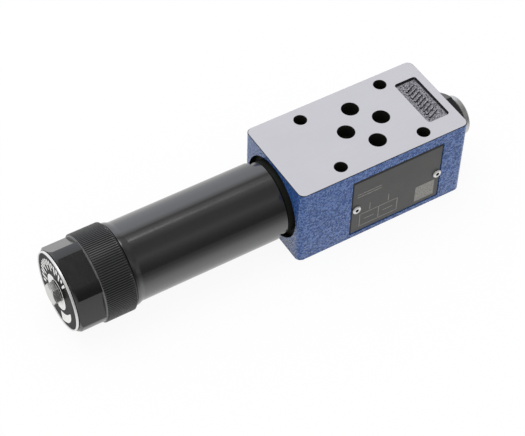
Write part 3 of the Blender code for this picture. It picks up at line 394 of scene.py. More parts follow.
PLATE_X = 0.00485
PLATE_Z = 0.0185
PLATE_WIDTH = 0.0450
PLATE_HEIGHT = 0.0318
RECESS_BACK = BLOCK_FRONT + 0.0011
recess_rings = []
for y, grown in ((BLOCK_FRONT - OVER, 0.0004), (RECESS_BACK, 0.0003)):
    form = rounded(PLATE_WIDTH + 2 * grown, PLATE_HEIGHT + 2 * grown, 0.0006, 5)
    recess_rings.append([(PLATE_X + u, y, PLATE_Z + v) for u, v in form])
tools.append(skin("plate_recess", recess_rings, finish=blue_paint))
RIVETS = {"left": -0.0152, "right": 0.0257}
RIVET_Z = 0.0170
RIVET_HOLE_R = 0.0013
RIVET_HOLE_DEPTH = 0.0048
for label, x in RIVETS.items():
    tools.append(facing(f"rivet_hole_{label}", [(RECESS_BACK - OVER, RIVET_HOLE_R),
                                                (RECESS_BACK + RIVET_HOLE_DEPTH, RIVET_HOLE_R)],
                        x, RIVET_Z, 32, painted_shade_black))
machined(block, tools)
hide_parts("valve_body")
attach(block, "valve")


# Cast marks in the pocket
# The pocket keeps its raw casting skin. A foundry sets raised marks in such a place; these
# are a plain row of even slanting ribs, all one with the casting.
marks = []
MARK_LAYERS = ((-0.0002, 1.0), (0.0008, 1.0), (0.0009, 0.9))
MARK_LENGTH = 0.0056
MARK_WIDTH = 0.0009
MARK_PITCH = 0.00215
SLANT = 0.45
for i in range(9):
    y = MARK_PITCH * (i - 4)
    form = rounded(MARK_LENGTH, MARK_WIDTH, 0.0004, 6)
    rings = [[(POCKET_X + u * s, y + (v + u * SLANT) * s, POCKET_FLOOR + h) for u, v in form]
             for h, s in MARK_LAYERS]
    marks.append(skin(f"cast_rib_{i}", rings, finish=raw_cast))
for mark in marks:
    # The ribs' sides are painted near black as shade; their tops keep the casting's skin.
    mark.data.materials.append(painted_shade_black)
    for face in mark.data.polygons:
        if face.normal.z < 0.5:
            face.material_index = 1
    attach(mark, "valve")


# Port seals
# Nitrile O-rings in the counterbores of the bottom face. They stand just inside the face
# and seal the four ports against the subplate.
def rubber(wire):
    spot = wire.place()
    dust = spot.noise(1500.0, 3.0, 0.6)
    return {"Base Color": dust.blend((0.012, 0.012, 0.012, 1), (0.030, 0.030, 0.031, 1)),
            "Roughness": 0.42 + dust * 0.2,
            "Normal": dust.bump(0.00001, 0.5)}


black_rubber = shade("nitrile_rubber", rubber)
SEAL_Z = 0.00069
SEAL_R = 0.00545
SEAL_CORD_R = 0.00066
for label, (x, y) in PORTS.items():
    rings = []
    for a in turns(72):
        reach = [(SEAL_R + SEAL_CORD_R * math.cos(b), SEAL_CORD_R * math.sin(b))
                 for b in turns(16)]
        rings.append([(x + r * math.cos(a), y + r * math.sin(a), SEAL_Z + lift)
                      for r, lift in reach])
    seal = skin(f"o_ring_{label}", rings, closed=True, finish=black_rubber, crease=80.0)
    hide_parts(f"port_seal_{label}")
    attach(seal, "valve")


# Nameplate
# A thin sheet of grey anodised aluminium in its recess. It carries only plain line shapes
# and a field of another tone, and two hollow rivets hold it.
def plate_sheet(wire):
    spot = wire.place()
    brushed = spot.stretched(90.0, 90.0, 5200.0).noise(1.0, 3.0, 0.6)
    cloud = spot.noise(160.0, 2.0, 0.5)
    tone = brushed * 0.55 + cloud * 0.45
    grey = tone.blend((0.068, 0.067, 0.067, 1), (0.106, 0.105, 0.102, 1))
    # Painted shadow: a near-black band along the plate's top and left edges, as the recess's edge
    # shades them.
    top_painted_shadow = spot.along("Z").rises(0.0327, 0.0331)
    left_painted_shadow = 1.0 - spot.along("X").rises(-0.0172, -0.0169)
    painted_shadow_band = top_painted_shadow.largest(left_painted_shadow)
    return {"Base Color": painted_shadow_band.blend(grey, (0.006, 0.006, 0.008, 1)),
            "Metallic": 0.15,
            "Roughness": 0.48 + brushed * 0.12,
            "Normal": brushed.bump(0.00001, 0.4)}


def plate_print(wire):
    speck = wire.place().noise(1700.0, 2.0, 0.6)
    return {"Base Color": speck.rises(0.36, 0.64).blend((0.190, 0.186, 0.172, 1),
                                                        (0.33, 0.32, 0.29, 1)),
            "Roughness": 0.55}


grey_plate = shade("grey_anodised_sheet", plate_sheet)
light_print = shade("light_plate_print", plate_print)
PLATE_BACK = RECESS_BACK - 0.0003
PLATE_FACE = PLATE_BACK - 0.0005
sheet_rings = []
for y, grown in ((PLATE_BACK, 0.0), (PLATE_FACE + 0.0001, 0.0), (PLATE_FACE, -0.0001)):
    form = rounded(PLATE_WIDTH + 2 * grown, PLATE_HEIGHT + 2 * grown, 0.0005, 5)
    sheet_rings.append([(PLATE_X + u, y, PLATE_Z + v) for u, v in form])
plate = skin("nameplate_sheet", sheet_rings, finish=grey_plate)
tools = []
for label, x in RIVETS.items():
    tools.append(facing(f"plate_hole_{label}", [(PLATE_FACE - OVER, RIVET_HOLE_R),
                                                (PLATE_BACK + OVER, RIVET_HOLE_R)],
                        x, RIVET_Z, 32, grey_plate))
machined(plate, tools)
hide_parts("nameplate")
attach(plate, "valve")

PRINT_DEPTH = 0.00003
PRINT_SUNK = 0.00008
LINE = 0.00035


def printed(name, x, z, width, height):
    """A flat patch of print on the plate."""
    corners = ((-1, -1), (1, -1), (1, 1), (-1, 1))
    rings = [[(x + u * width / 2, y, z + v * height / 2) for u, v in corners]
             for y in (PLATE_FACE - PRINT_DEPTH, PLATE_FACE + PRINT_SUNK)]
    return skin(name, rings, finish=light_print)


prints = [printed("print_field", 0.0202, 0.0090, 0.0098, 0.0090)]
for i, (x, z, width, height) in enumerate((
        (-0.0035, 0.0125, 0.0190, LINE), (-0.0035, 0.0052, 0.0190, LINE),
        (-0.0130, 0.00885, LINE, 0.0076), (0.0060, 0.00885, LINE, 0.0076),
        (-0.0035, 0.00885, LINE, 0.0076), (-0.0082, 0.00885, 0.0050, LINE),
        (0.0012, 0.00885, 0.0050, LINE), (0.0012, 0.0155, LINE, 0.0040),
        (-0.0082, 0.0155, LINE, 0.0040), (-0.0090, 0.0255, 0.0120, LINE),
        (-0.0090, 0.0240, 0.0120, LINE))):
    prints.append(printed(f"print_line_{i}", x, z, width, height))
for patch in prints:
    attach(patch, "valve")


# Nameplate rivets
# Hollow zinc-plated drive rivets. Each head is a bright rounded ring round the blind hole
# of its shank.
def zinc_plate(wire):
    spot = wire.place()
    cloud = spot.noise(700.0, 3.0, 0.6)
    return {"Base Color": cloud.blend((0.74, 0.74, 0.74, 1), (0.88, 0.88, 0.87, 1)),
            "Metallic": 0.55,
            "Roughness": 0.28 + cloud * 0.16,
            "Normal": cloud.bump(0.000015, 0.5)}


bright_zinc = shade("bright_zinc", zinc_plate)
SHANK_R = 0.0010
HEAD_SEAT = PLATE_FACE - 0.0003
HEAD_RING_R = 0.0013
HEAD_HALF = 0.0007
HEAD_STEPS = 12
rivet_profile = [(PLATE_FACE + 0.0053, SHANK_R), (HEAD_SEAT, SHANK_R),
                 (HEAD_SEAT, HEAD_RING_R + HEAD_HALF)]
for i in range(HEAD_STEPS + 1):
    a = math.pi * i / HEAD_STEPS
    rivet_profile.append((HEAD_SEAT - 0.0001 - 0.0006 * math.sin(a),
                          HEAD_RING_R + HEAD_HALF * math.cos(a)))
rivet_profile.append((PLATE_FACE + 0.0040, HEAD_RING_R - HEAD_HALF))
for label, x in RIVETS.items():
    rivet = facing(f"hollow_rivet_{label}", rivet_profile, x, RIVET_Z, 40, bright_zinc, 50.0)
    # The hole inside each head is painted near black as shade.
    rivet.data.materials.append(painted_shade_black)
    for face in rivet.data.polygons:
        if math.hypot(face.center.x - x, face.center.z - RIVET_Z) < 0.0008:
            face.material_index = 1
    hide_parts(f"nameplate_rivet_{label}")
    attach(rivet, "valve")


# End plug
# A blackened steel hexagon plug that closes the spool bore. Its chamfered head seals on a
# rubber ring against the block, and the gauge port is bored through it.
PLUG_SEAT = BLOCK_RIGHT + 0.0018
PLUG_END = 0.04795
PLUG_ACROSS = 0.0230
PLUG_FACE_R = 0.01104
PLUG_CHAMFER = 26.0
PLUG_THREAD_R = 0.0088
GAUGE_PORT_R = 0.0058
GAUGE_PORT_END = 0.03645
DRILLING_R = 0.0015


def black_oxide(wire):
    spot = wire.place()
    turned = spot.stretched(3000.0, 120.0, 120.0).noise(1.0, 2.0, 0.5)
    cloud = spot.noise(220.0, 3.0, 0.55)
    tone = turned * 0.4 + cloud * 0.6
    return {"Base Color": tone.blend((0.012, 0.012, 0.013, 1), (0.026, 0.026, 0.027, 1)),
            "Roughness": 0.24 + cloud * 0.14,
            "Normal": turned.bump(0.000008, 0.5)}


blackened = shade("blackened_steel", black_oxide)


def hexagonal(name, across, corner, x0, x1, finish):
    """A hexagonal bar on the bore axis, with a corner at the given degrees from +Y."""
    r = across / math.sqrt(3)
    corners = [math.radians(corner + 60 * i) for i in range(6)]
    rings = [[(x, r * math.cos(a), BORE_Z + r * math.sin(a)) for a in corners]
             for x in (x0, x1)]
    return skin(name, rings, finish=finish)


plug = hexagonal("hexagon_plug", PLUG_ACROSS, 90.0, PLUG_SEAT, PLUG_END + OVER, blackened)
plug_corner = PLUG_ACROSS / math.sqrt(3)
chamfer_x = PLUG_END - (plug_corner - PLUG_FACE_R) * math.tan(math.radians(PLUG_CHAMFER))
machined(plug, [lying("plug_blank", [(PLUG_SEAT - OVER, plug_corner + OVER),
                                     (chamfer_x, plug_corner + OVER), (chamfer_x, plug_corner),
                                     (PLUG_END, PLUG_FACE_R)],
                      96, blackened)], "INTERSECT")
machined(plug, [lying("plug_thread", [(0.02725, PLUG_THREAD_R - 0.0008),
                                      (0.02805, PLUG_THREAD_R),
                                      (PLUG_SEAT + OVER, PLUG_THREAD_R)], 72, blackened)],
         "UNION")
machined(plug, [lying("gauge_port", [(0.0262, DRILLING_R), (GAUGE_PORT_END, DRILLING_R),
                                     (GAUGE_PORT_END, GAUGE_PORT_R),
                                     (PLUG_END + OVER, GAUGE_PORT_R)], 64, painted_shade_black)])
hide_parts("end_plug")
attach(plug, "valve")

PLUG_SEAL_START = 0.04005
PLUG_SEAL_END = 0.04125
PLUG_SEAL_R = 0.0112
plug_seal = lying("plug_seal_ring", [(PLUG_SEAL_START, PLUG_SEAL_R - 0.0003),
                                     (PLUG_SEAL_START + 0.00015, PLUG_SEAL_R),
                                     (PLUG_SEAL_END - 0.00015, PLUG_SEAL_R),
                                     (PLUG_SEAL_END, PLUG_SEAL_R - 0.0003),
                                     (PLUG_SEAL_END, PLUG_BORE_R),
                                     (PLUG_SEAL_START, PLUG_BORE_R)],
                  72, black_rubber, True)
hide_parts("end_plug_seal")
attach(plug_seal, "valve")


# Gauge port screw
# A zinc-plated screw with a turned collar and a key socket. It closes the gauge port over
# a flat sealing ring.
def turned_zinc(wire):
    spot = wire.place()
    rings = spot.stretched(2400.0, 200.0, 200.0).noise(1.0, 3.0, 0.6)
    cloud = spot.noise(300.0, 2.0, 0.5)
    return {"Base Color": (rings * 0.5 + cloud * 0.5).blend((0.42, 0.42, 0.41, 1),
                                                            (0.72, 0.72, 0.71, 1)),
            "Metallic": 0.8,
            "Roughness": 0.24 + rings * 0.18,
            "Normal": rings.bump(0.00002, 0.5)}


dull_zinc = shade("turned_zinc", turned_zinc)
COLLAR_START = 0.04965
COLLAR_END = 0.05245
COLLAR_R = 0.0089
SCREW_THREAD_R = 0.0055
KEY_ACROSS = 0.0060
KEY_DEPTH = 0.005
screw = lying("gauge_port_screw", [(0.04115, SCREW_THREAD_R - 0.0006), (0.04175, SCREW_THREAD_R),
                                   (COLLAR_START, SCREW_THREAD_R),
                                   (COLLAR_START, COLLAR_R - 0.0002),
                                   (COLLAR_START + 0.0002, COLLAR_R),
                                   (COLLAR_END - 0.0006, COLLAR_R),
                                   (COLLAR_END - 0.0003, COLLAR_R - 0.0002),
                                   (COLLAR_END, COLLAR_R - 0.0007)], 96, dull_zinc)
machined(screw, [hexagonal("key_socket", KEY_ACROSS, 30.0, COLLAR_END - KEY_DEPTH,
                           COLLAR_END + OVER, dull_zinc)])
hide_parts("gauge_screw")
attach(screw, "valve")
WASHER_START = 0.04825
WASHER_END = 0.04935
WASHER_R = 0.0084
washer = lying("gauge_seal_ring", [(WASHER_START, WASHER_R - 0.0002),
                                   (WASHER_START + 0.00015, WASHER_R),
                                   (WASHER_END - 0.00015, WASHER_R),
                                   (WASHER_END, WASHER_R - 0.0002),
                                   (WASHER_END, GAUGE_PORT_R), (WASHER_START, GAUGE_PORT_R)],
               72, dull_zinc, True)
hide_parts("gauge_screw_seal")
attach(washer, "valve")


# Control spool and its pieces
# Hardened steel, ground on its lands. The nozzle is screwed into its drilled pressure end,
# and the spring plate bears on its nose.
def ground_steel(wire):
    spot = wire.place()
    rings = spot.stretched(4200.0, 160.0, 160.0).noise(1.0, 3.0, 0.55)
    return {"Base Color": rings.blend((0.50, 0.50, 0.51, 1), (0.68, 0.68, 0.69, 1)),
            "Metallic": 0.95,
            "Roughness": 0.20 + rings * 0.14,
            "Normal": rings.bump(0.00001, 0.4)}


ground_bright = shade("ground_steel", ground_steel)


def dress(finish, *names):
    """Give CAD nodes whose shape stays their finish."""
    for name in names:
        mesh = nodes[name].data
        for i in range(len(mesh.materials)):
            mesh.materials[i] = finish


dress(ground_bright, "control_spool", "spool_orifice", "spool_spring_plate")


# Setting spring
# Oil-tempered spring wire, coiled with closed end turns, between the threaded seat and the
# spring plate. Its two halves meet in the middle.
def drawn_wire(wire):
    spot = wire.place()
    scale = spot.noise(900.0, 3.0, 0.6)
    return {"Base Color": scale.blend((0.10, 0.10, 0.105, 1), (0.22, 0.22, 0.225, 1)),
            "Metallic": 0.85,
            "Roughness": 0.30 + scale * 0.2}


spring_wire = shade("oil_tempered_wire", drawn_wire)
SPRING_START = -0.08975
SPRING_STOP = -0.02075
SPRING_R = 0.0074
WIRE_R = 0.00165
OPEN_TURNS = 10
CLOSED_PITCH = 0.0035
STEPS_A_TURN = 36
open_pitch = (SPRING_STOP - SPRING_START - 2 * CLOSED_PITCH) / OPEN_TURNS
rings = []
for i in range((OPEN_TURNS + 2) * STEPS_A_TURN + 1):
    turn = i / STEPS_A_TURN
    x = SPRING_START + CLOSED_PITCH * min(turn, 1)
    x += open_pitch * min(max(turn - 1, 0), OPEN_TURNS)
    x += CLOSED_PITCH * max(turn - 1 - OPEN_TURNS, 0)
    a = 2 * math.pi * turn
    ring = []
    for b in turns(14):
        r = SPRING_R + WIRE_R * math.cos(b)
        ring.append((x + WIRE_R * math.sin(b), r * math.cos(a), BORE_Z + r * math.sin(a)))
    rings.append(ring)
middle_ring = (OPEN_TURNS // 2 + 1) * STEPS_A_TURN
for label, half, joint, keep in (
        ("seat_side", rings[:middle_ring + 1], "spring_seat_travel", 0.75),
        ("spool_side", rings[middle_ring:], "spool_slide", 0.915)):
    spring = skin(f"setting_spring_{label}", half, finish=spring_wire, crease=60.0)
    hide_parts("setting_spring")
    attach(spring, "valve")
    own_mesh(spring)


# Spring seat, spindle and bearing pieces
# Turned steel pieces inside the sleeve: the threaded seat, the spindle with its collar and
# clip ring, the thrust washer, and the bronze bush with its seal.
def bush_bronze(wire):
    spot = wire.place()
    turned = spot.stretched(2600.0, 150.0, 150.0).noise(1.0, 2.0, 0.5)
    return {"Base Color": turned.blend((0.40, 0.24, 0.10, 1), (0.58, 0.37, 0.17, 1)),
            "Metallic": 0.9,
            "Roughness": 0.32 + turned * 0.12}


turned_bronze = shade("turned_bronze", bush_bronze)
dress(ground_bright, "threaded_spring_seat", "adjusting_spindle", "thrust_washer")
dress(spring_wire, "seat_stop_ring")
dress(turned_bronze, "spindle_bush")
dress(black_rubber, "spindle_seal", "sleeve_seal")


# Spring sleeve
# A long steel tube turned from bar and blackened. It screws into the block, with two
# wrench flats milled beside it, and flares slightly where the knob turns on it.
SLEEVE_R = 0.01725
SHOULDER = -0.04505
SLEEVE_START = -0.02625
SLEEVE_END = -0.11595
NECK_X = -0.04075
NECK_R = 0.0160
SEAL_GROOVE_R = 0.0155
SLEEVE_THREAD_R = 0.0130
FLARE_R = 0.0180
SPINDLE_HOLE_R = 0.0043
BUSH_SEAT_R = 0.0067
SPRING_ROOM_R = 0.0112
outside = [(SLEEVE_START, SLEEVE_THREAD_R - 0.0005), (SLEEVE_START - 0.0005, SLEEVE_THREAD_R),
           (NECK_X - 0.0018, SLEEVE_THREAD_R), (NECK_X - 0.0018, SEAL_GROOVE_R),
           (NECK_X, SEAL_GROOVE_R), (NECK_X, NECK_R), (SHOULDER, NECK_R),
           (SHOULDER, SLEEVE_R - 0.0009), (SHOULDER - 0.0003, SLEEVE_R - 0.00045),
           (SHOULDER - 0.0009, SLEEVE_R), (SHOULDER - 0.0045, SLEEVE_R),
           (SLEEVE_END + 0.0036, SLEEVE_R), (SLEEVE_END + 0.0030, SLEEVE_R + 0.00008),
           (SLEEVE_END + 0.0016, SLEEVE_R + 0.00062), (SLEEVE_END + 0.0011, FLARE_R),
           (SLEEVE_END + 0.0001, FLARE_R), (SLEEVE_END, FLARE_R - 0.0001)]
inside = [(SLEEVE_END, SPINDLE_HOLE_R), (-0.11205, SPINDLE_HOLE_R), (-0.11205, BUSH_SEAT_R),
          (-0.10495, BUSH_SEAT_R), (-0.10495, SPRING_ROOM_R), (SLEEVE_START, SPRING_ROOM_R)]


def satin_black(wire):
    spot = wire.place()
    turned = spot.stretched(2600.0, 60.0, 60.0).noise(1.0, 2.0, 0.5)
    cloud = spot.noise(60.0, 3.0, 0.55)
    tone = turned * 0.3 + cloud * 0.7
    return {"Base Color": tone.blend((0.006, 0.006, 0.007, 1), (0.012, 0.012, 0.013, 1)),
            "Roughness": 0.11 + cloud * 0.08,
            "IOR": 2.15,
            "Normal": turned.bump(0.000006, 0.4)}


sleeve_black = shade("blackened_sleeve_steel", satin_black)
sleeve = lying("blackened_sleeve", outside + inside, 144, sleeve_black, True)
FLAT_AT = 0.015
CUTTER_AT = 0.019
CUTTER_HALF = 0.018
FLAT_WIDTH = 0.0040
flats = []
for label, turn in (("upper", 38.0), ("lower", 218.0)):
    out_y, out_z = math.cos(math.radians(turn)), math.sin(math.radians(turn))
    corners = [(out * out_y - across * out_z, out * out_z + across * out_y)
               for out, across in ((FLAT_AT, -CUTTER_HALF), (FLAT_AT, CUTTER_HALF),
                                   (CUTTER_AT, CUTTER_HALF), (CUTTER_AT, -CUTTER_HALF))]
    flats.append(skin(f"{label}_wrench_flat", [[(x, y, BORE_Z + z) for y, z in corners]
                                               for x in (SHOULDER - FLAT_WIDTH, SHOULDER)],
                      finish=sleeve_black))
machined(sleeve, flats)
KEY_HALF = 0.0012
KEY_LOW = 0.0296
KEY_HIGH = 0.0322
KEY_START = -0.10595
KEY_END = -0.07895
key = [(-KEY_HALF, KEY_LOW), (KEY_HALF, KEY_LOW), (KEY_HALF, KEY_HIGH), (-KEY_HALF, KEY_HIGH)]
key_rings = [[(x, y, z) for y, z in key] for x in (KEY_START, KEY_END)]
machined(sleeve, [skin("key_rib", key_rings, finish=sleeve_black)], "UNION")
# The faces behind the shoulder, down in the block's recess, are painted near black as shade.
sleeve.data.materials.append(painted_shade_black)
for face in sleeve.data.polygons:
    if face.center.x > SHOULDER + 0.0002:
        face.material_index = len(sleeve.data.materials) - 1
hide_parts("spring_sleeve")
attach(sleeve, "valve")


# Adjusting knob
# Machined from aluminium bar and anodised black: a hexagon for a wrench in front of a
# straight-knurled ring for the hand. It is hollow behind, round the hub.
KNOB_BACK = -0.11625
KNOB_SHOULDER = -0.13025
KNOB_FRONT = -0.14155
KNURL_R = 0.01915
RIBS = 120
RIB_DEPTH = 0.0004
HEXAGON_ACROSS = 0.0343
HEXAGON_TURN = 22.0
HEXAGON_ROUND_R = 0.0185
HOLLOW_X = KNOB_BACK - 0.0045
HOLLOW_R = 0.0140
HUB_R = 0.0075
SPINDLE_BORE_X = -0.12195
DRIVE_ACROSS = 0.0072


def anodised(wire):
    spot = wire.place()
    cloud = spot.noise(240.0, 3.0, 0.6)
    scuffs = spot.stretched(900.0, 300.0, 300.0).noise(1.0, 4.0, 0.7)
    return {"Base Color": cloud.blend((0.004, 0.004, 0.004, 1), (0.009, 0.009, 0.009, 1)),
            "Roughness": 0.10 + scuffs * 0.14,
            "IOR": 1.70,
            "Normal": scuffs.bump(0.000012, 0.5)}


def anodised_knurl(wire):
    spot = wire.place()
    speck = spot.noise(1300.0, 3.0, 0.65)
    # The grey on the knurl's front edge and rib crests is partly wear and partly painted
    # highlight; the specks near the back edge are painted glints.
    along = spot.along("X")
    shoulder = 1.0 - along.rises(KNOB_SHOULDER + 0.0003, KNOB_SHOULDER + 0.0007)
    out_y, out_z = spot.along("Y"), spot.along("Z") - BORE_Z
    crest = (out_y * out_y + out_z * out_z).rises((KNURL_R - 0.00025) ** 2,
                                                  (KNURL_R - 0.00005) ** 2)
    painted_glints = along.rises(KNOB_BACK - 0.0022, KNOB_BACK - 0.0012) * speck.rises(0.58, 0.66)
    wear_and_painted_glints = (shoulder * speck * 0.45).largest(crest * (painted_glints * 0.6 + 0.06))
    black = speck.blend((0.002, 0.002, 0.002, 1), (0.009, 0.009, 0.009, 1))
    return {"Base Color": wear_and_painted_glints.blend(black, (0.60, 0.60, 0.62, 1)),
            "Metallic": wear_and_painted_glints,
            "Roughness": 0.24 + speck * 0.20,
            "IOR": 1.55}


black_anodised = shade("black_anodised_aluminium", anodised)
black_knurl = shade("black_anodised_knurl", anodised_knurl)
knob = hexagonal("knurled_knob", HEXAGON_ACROSS, HEXAGON_TURN, KNOB_FRONT - OVER,
                 KNOB_SHOULDER + OVER, black_anodised)
machined(knob, [lying("knob_blank", [(KNOB_FRONT, HEXAGON_ROUND_R - 0.0011),
                                     (KNOB_FRONT + 0.0003, HEXAGON_ROUND_R - 0.0007),
                                     (KNOB_FRONT + 0.0010, HEXAGON_ROUND_R),
                                     (KNOB_SHOULDER + 2 * OVER, HEXAGON_ROUND_R)], 144,
                      black_anodised)], "INTERSECT")


def knurled(x, radius, depth):
    """One loop round the knurl: four points a rib, flat on top and narrow below."""
    points = []
    for i in range(RIBS):
        for part, level in ((0.0, 1), (0.45, 1), (0.62, 0), (0.83, 0)):
            a = 2 * math.pi * (i + part) / RIBS
            r = radius if level else radius - depth
            points.append((x, r * math.cos(a), BORE_Z + r * math.sin(a)))
    return points


knurl_rings = [knurled(KNOB_SHOULDER, KNURL_R - 0.0009, 0.0),
               knurled(KNOB_SHOULDER + 0.0004, KNURL_R - 0.0004, 0.0001),
               knurled(KNOB_SHOULDER + 0.0008, KNURL_R, RIB_DEPTH),
               knurled(KNOB_BACK - 0.0008, KNURL_R, RIB_DEPTH),
               knurled(KNOB_BACK - 0.0004, KNURL_R - 0.0004, 0.0001),
               knurled(KNOB_BACK, KNURL_R - 0.0009, 0.0)]
machined(knob, [skin("knurled_band", knurl_rings, finish=black_knurl)], "UNION")
machined(knob, [lying("back_hollow", [(HOLLOW_X, HOLLOW_R), (KNOB_BACK + OVER, HOLLOW_R),
                                      (KNOB_BACK + OVER, HUB_R), (HOLLOW_X, HUB_R)],
                      96, black_anodised, True),
                lying("spindle_bore", [(SPINDLE_BORE_X, SPINDLE_HOLE_R),
                                       (KNOB_BACK + OVER, SPINDLE_HOLE_R)], 48, black_anodised),
                hexagonal("drive_hexagon", DRIVE_ACROSS, HEXAGON_TURN, KNOB_FRONT - OVER,
                          SPINDLE_BORE_X + 0.0003, black_anodised)])
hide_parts("adjusting_knob")
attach(knob, "knob")


# Dial plate
# A thin disc on the knob's front face, printed black with plain white marks: two turning
# arrows that widen as they go, a crescent, and a scale of even long and short ticks.
DIAL_BACK = KNOB_FRONT - 0.0003
DIAL_FACE = DIAL_BACK - 0.0006
DIAL_R = 0.0162
DIAL_HOLE_R = 0.0021
INK_DEPTH = 0.00004
INK_SUNK = 0.00008


def dial_black(wire):
    speck = wire.place().noise(1500.0, 2.0, 0.6)
    return {"Base Color": speck.blend((0.004, 0.004, 0.004, 1), (0.010, 0.010, 0.010, 1)),
            "Roughness": 0.35 + speck * 0.15,
            "Specular IOR Level": 0.05}


def dial_white(wire):
    speck = wire.place().noise(900.0, 3.0, 0.6)
    return {"Base Color": speck.blend((0.86, 0.86, 0.85, 1), (0.96, 0.96, 0.95, 1)),
            "Roughness": 0.40}


printed_black = shade("black_dial_print", dial_black)
printed_white = shade("white_dial_print", dial_white)
dial = lying("dial_disc", [(DIAL_FACE, DIAL_R - 0.0001), (DIAL_FACE + 0.0001, DIAL_R),
                           (DIAL_BACK, DIAL_R), (DIAL_BACK, DIAL_HOLE_R),
                           (DIAL_FACE, DIAL_HOLE_R)], 96, printed_black, True)
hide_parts("dial_plate")
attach(dial, "knob")


def dial_mark(name, *stations):
    """A printed band through (degrees from +Y towards +Z, inner radius, outer radius) stations."""
    inner, outer = [], []
    for (a0, low0, high0), (a1, low1, high1) in zip(stations, stations[1:]):
        steps = max(1, round(abs(a1 - a0) / 5))
        for i in range(steps + 1):
            t = i / steps
            turn = math.radians(a0 + (a1 - a0) * t)
            inner.append((turn, low0 + (low1 - low0) * t))
            outer.append((turn, high0 + (high1 - high0) * t))
    rings = [[(x, r * math.cos(a), BORE_Z + r * math.sin(a)) for a, r in outer + inner[::-1]]
             for x in (DIAL_FACE - INK_DEPTH, DIAL_FACE + INK_SUNK)]
    mark = skin(name, rings, finish=printed_white)
    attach(mark, "knob")


dial_mark("arrow_left", (66.0, 0.0056, 0.0060), (58.0, 0.0050, 0.0066), (35.0, 0.0050, 0.0076),
          (8.0, 0.0051, 0.0085), (-20.0, 0.0056, 0.0085))
dial_mark("arrow_left_tail", (168.0, 0.0052, 0.0054), (150.0, 0.0051, 0.0058),
          (90.0, 0.0052, 0.0060), (68.0, 0.0054, 0.0058))
dial_mark("arrow_right", (160.0, 0.0050, 0.0058), (189.0, 0.0044, 0.0068),
          (216.0, 0.0042, 0.0076), (252.0, 0.0044, 0.0088), (273.0, 0.0048, 0.0095))
dial_mark("crescent", (194.0, 0.0112, 0.0114), (205.0, 0.0104, 0.0124), (220.0, 0.0102, 0.0132),
          (247.0, 0.0102, 0.0146), (262.0, 0.0104, 0.0156))
FIRST_TICK = 124.0
TICK_STEP = 9.8
TICK_HALF = 2.6
TICK_OUTER = 0.0141
for i in range(16):
    turn = FIRST_TICK - TICK_STEP * i
    inner_r = 0.0094 if i % 2 == 0 else 0.0116
    dial_mark(f"scale_tick_{i}", (turn + TICK_HALF, inner_r, TICK_OUTER),
              (turn - TICK_HALF, inner_r, TICK_OUTER))


# Dial rim
# A thin ring of zinc-plated steel with eased edges. It is pressed on the knob's front face,
# close round the dial.
RIM_OUTER = 0.0171
RIM_INNER = 0.0165
RIM_FRONT = DIAL_BACK - 0.0009
RIM_EDGE = 0.0002
rim = lying("dial_rim", [(DIAL_BACK, RIM_OUTER), (RIM_FRONT + RIM_EDGE, RIM_OUTER),
                         (RIM_FRONT, RIM_OUTER - RIM_EDGE), (RIM_FRONT, RIM_INNER + RIM_EDGE),
                         (RIM_FRONT + RIM_EDGE, RIM_INNER), (DIAL_BACK, RIM_INNER)], 96,
            bright_zinc, True, 50.0)
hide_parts("dial_ring")
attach(rim, "knob")


# Knob screw
# A bright steel hexagon screw with a chamfered head. Its shank goes through the dial and
# holds the knob on the spindle.
SCREW_SEAT = DIAL_FACE - 0.0003
SCREW_FRONT = SCREW_SEAT - 0.0031
SCREW_ACROSS = 0.0085
SHANK_LENGTH = 0.0110
SCREW_SHANK_R = 0.0018


def screw_steel(wire):
    cloud = wire.place().noise(500.0, 3.0, 0.6)
    return {"Base Color": cloud.blend((0.50, 0.50, 0.48, 1), (0.64, 0.64, 0.62, 1)),
            "Metallic": 0.85,
            "Roughness": 0.20 + cloud * 0.10}


bright_screw = shade("bright_screw_steel", screw_steel)
CHAMFER_FRONT_R = 0.0041
CHAMFER_BACK_R = 0.0049
CHAMFER_WIDTH = 0.0005
BLANK_R = 0.0060
head = hexagonal("knob_head_screw", SCREW_ACROSS, 0.0, SCREW_FRONT - OVER, SCREW_SEAT,
                 bright_screw)
machined(head, [lying("screw_blank", [(SCREW_FRONT, CHAMFER_FRONT_R),
                                      (SCREW_FRONT + CHAMFER_WIDTH, CHAMFER_BACK_R),
                                      (SCREW_FRONT + CHAMFER_WIDTH, BLANK_R),
                                      (SCREW_SEAT + OVER, BLANK_R)], 64, bright_screw)],
         "INTERSECT")
machined(head, [lying("screw_shank", [(SCREW_SEAT - OVER, SCREW_SHANK_R),
                                      (SCREW_SEAT + SHANK_LENGTH, SCREW_SHANK_R)],
                      32, bright_screw)], "UNION")
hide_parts("knob_screw")
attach(head, "knob")


# The studio
# A plain pale floor that fades to white round the valve, a bright room that mirrors darker
# towards the camera, a soft lamp above, and the camera at the photograph's angle.
def pale_paper(wire):
    return {"Base Color": (0.93, 0.93, 0.93, 1),
            "Roughness": 0.9,
            "Specular IOR Level": 0.1}


floor_mesh = bpy.data.meshes.new("floor")
bm = bmesh.new()
bmesh.ops.create_grid(bm, x_segments=1, y_segments=1, size=3.0)
bm.to_mesh(floor_mesh)
bm.free()
floor = bpy.data.objects.new("floor", floor_mesh)
floor.location.z = -0.0002
bpy.context.scene.collection.objects.link(floor)
floor_material = shade("studio_floor", pale_paper)
tree = floor_material.node_tree
paper = Wire(tree)
lit_paper = Wire(tree, tree.nodes["Principled BSDF"].outputs[0])


def looked_at(wire):
    """1 where the camera, a reflection or a view through glass looks at a surface, else 0."""
    straight = wire.node("LightPath", out="Is Camera Ray")
    mirrored = wire.node("LightPath", out="Is Glossy Ray")
    through = wire.node("LightPath", out="Is Transmission Ray")
    return straight.largest(mirrored).largest(through)


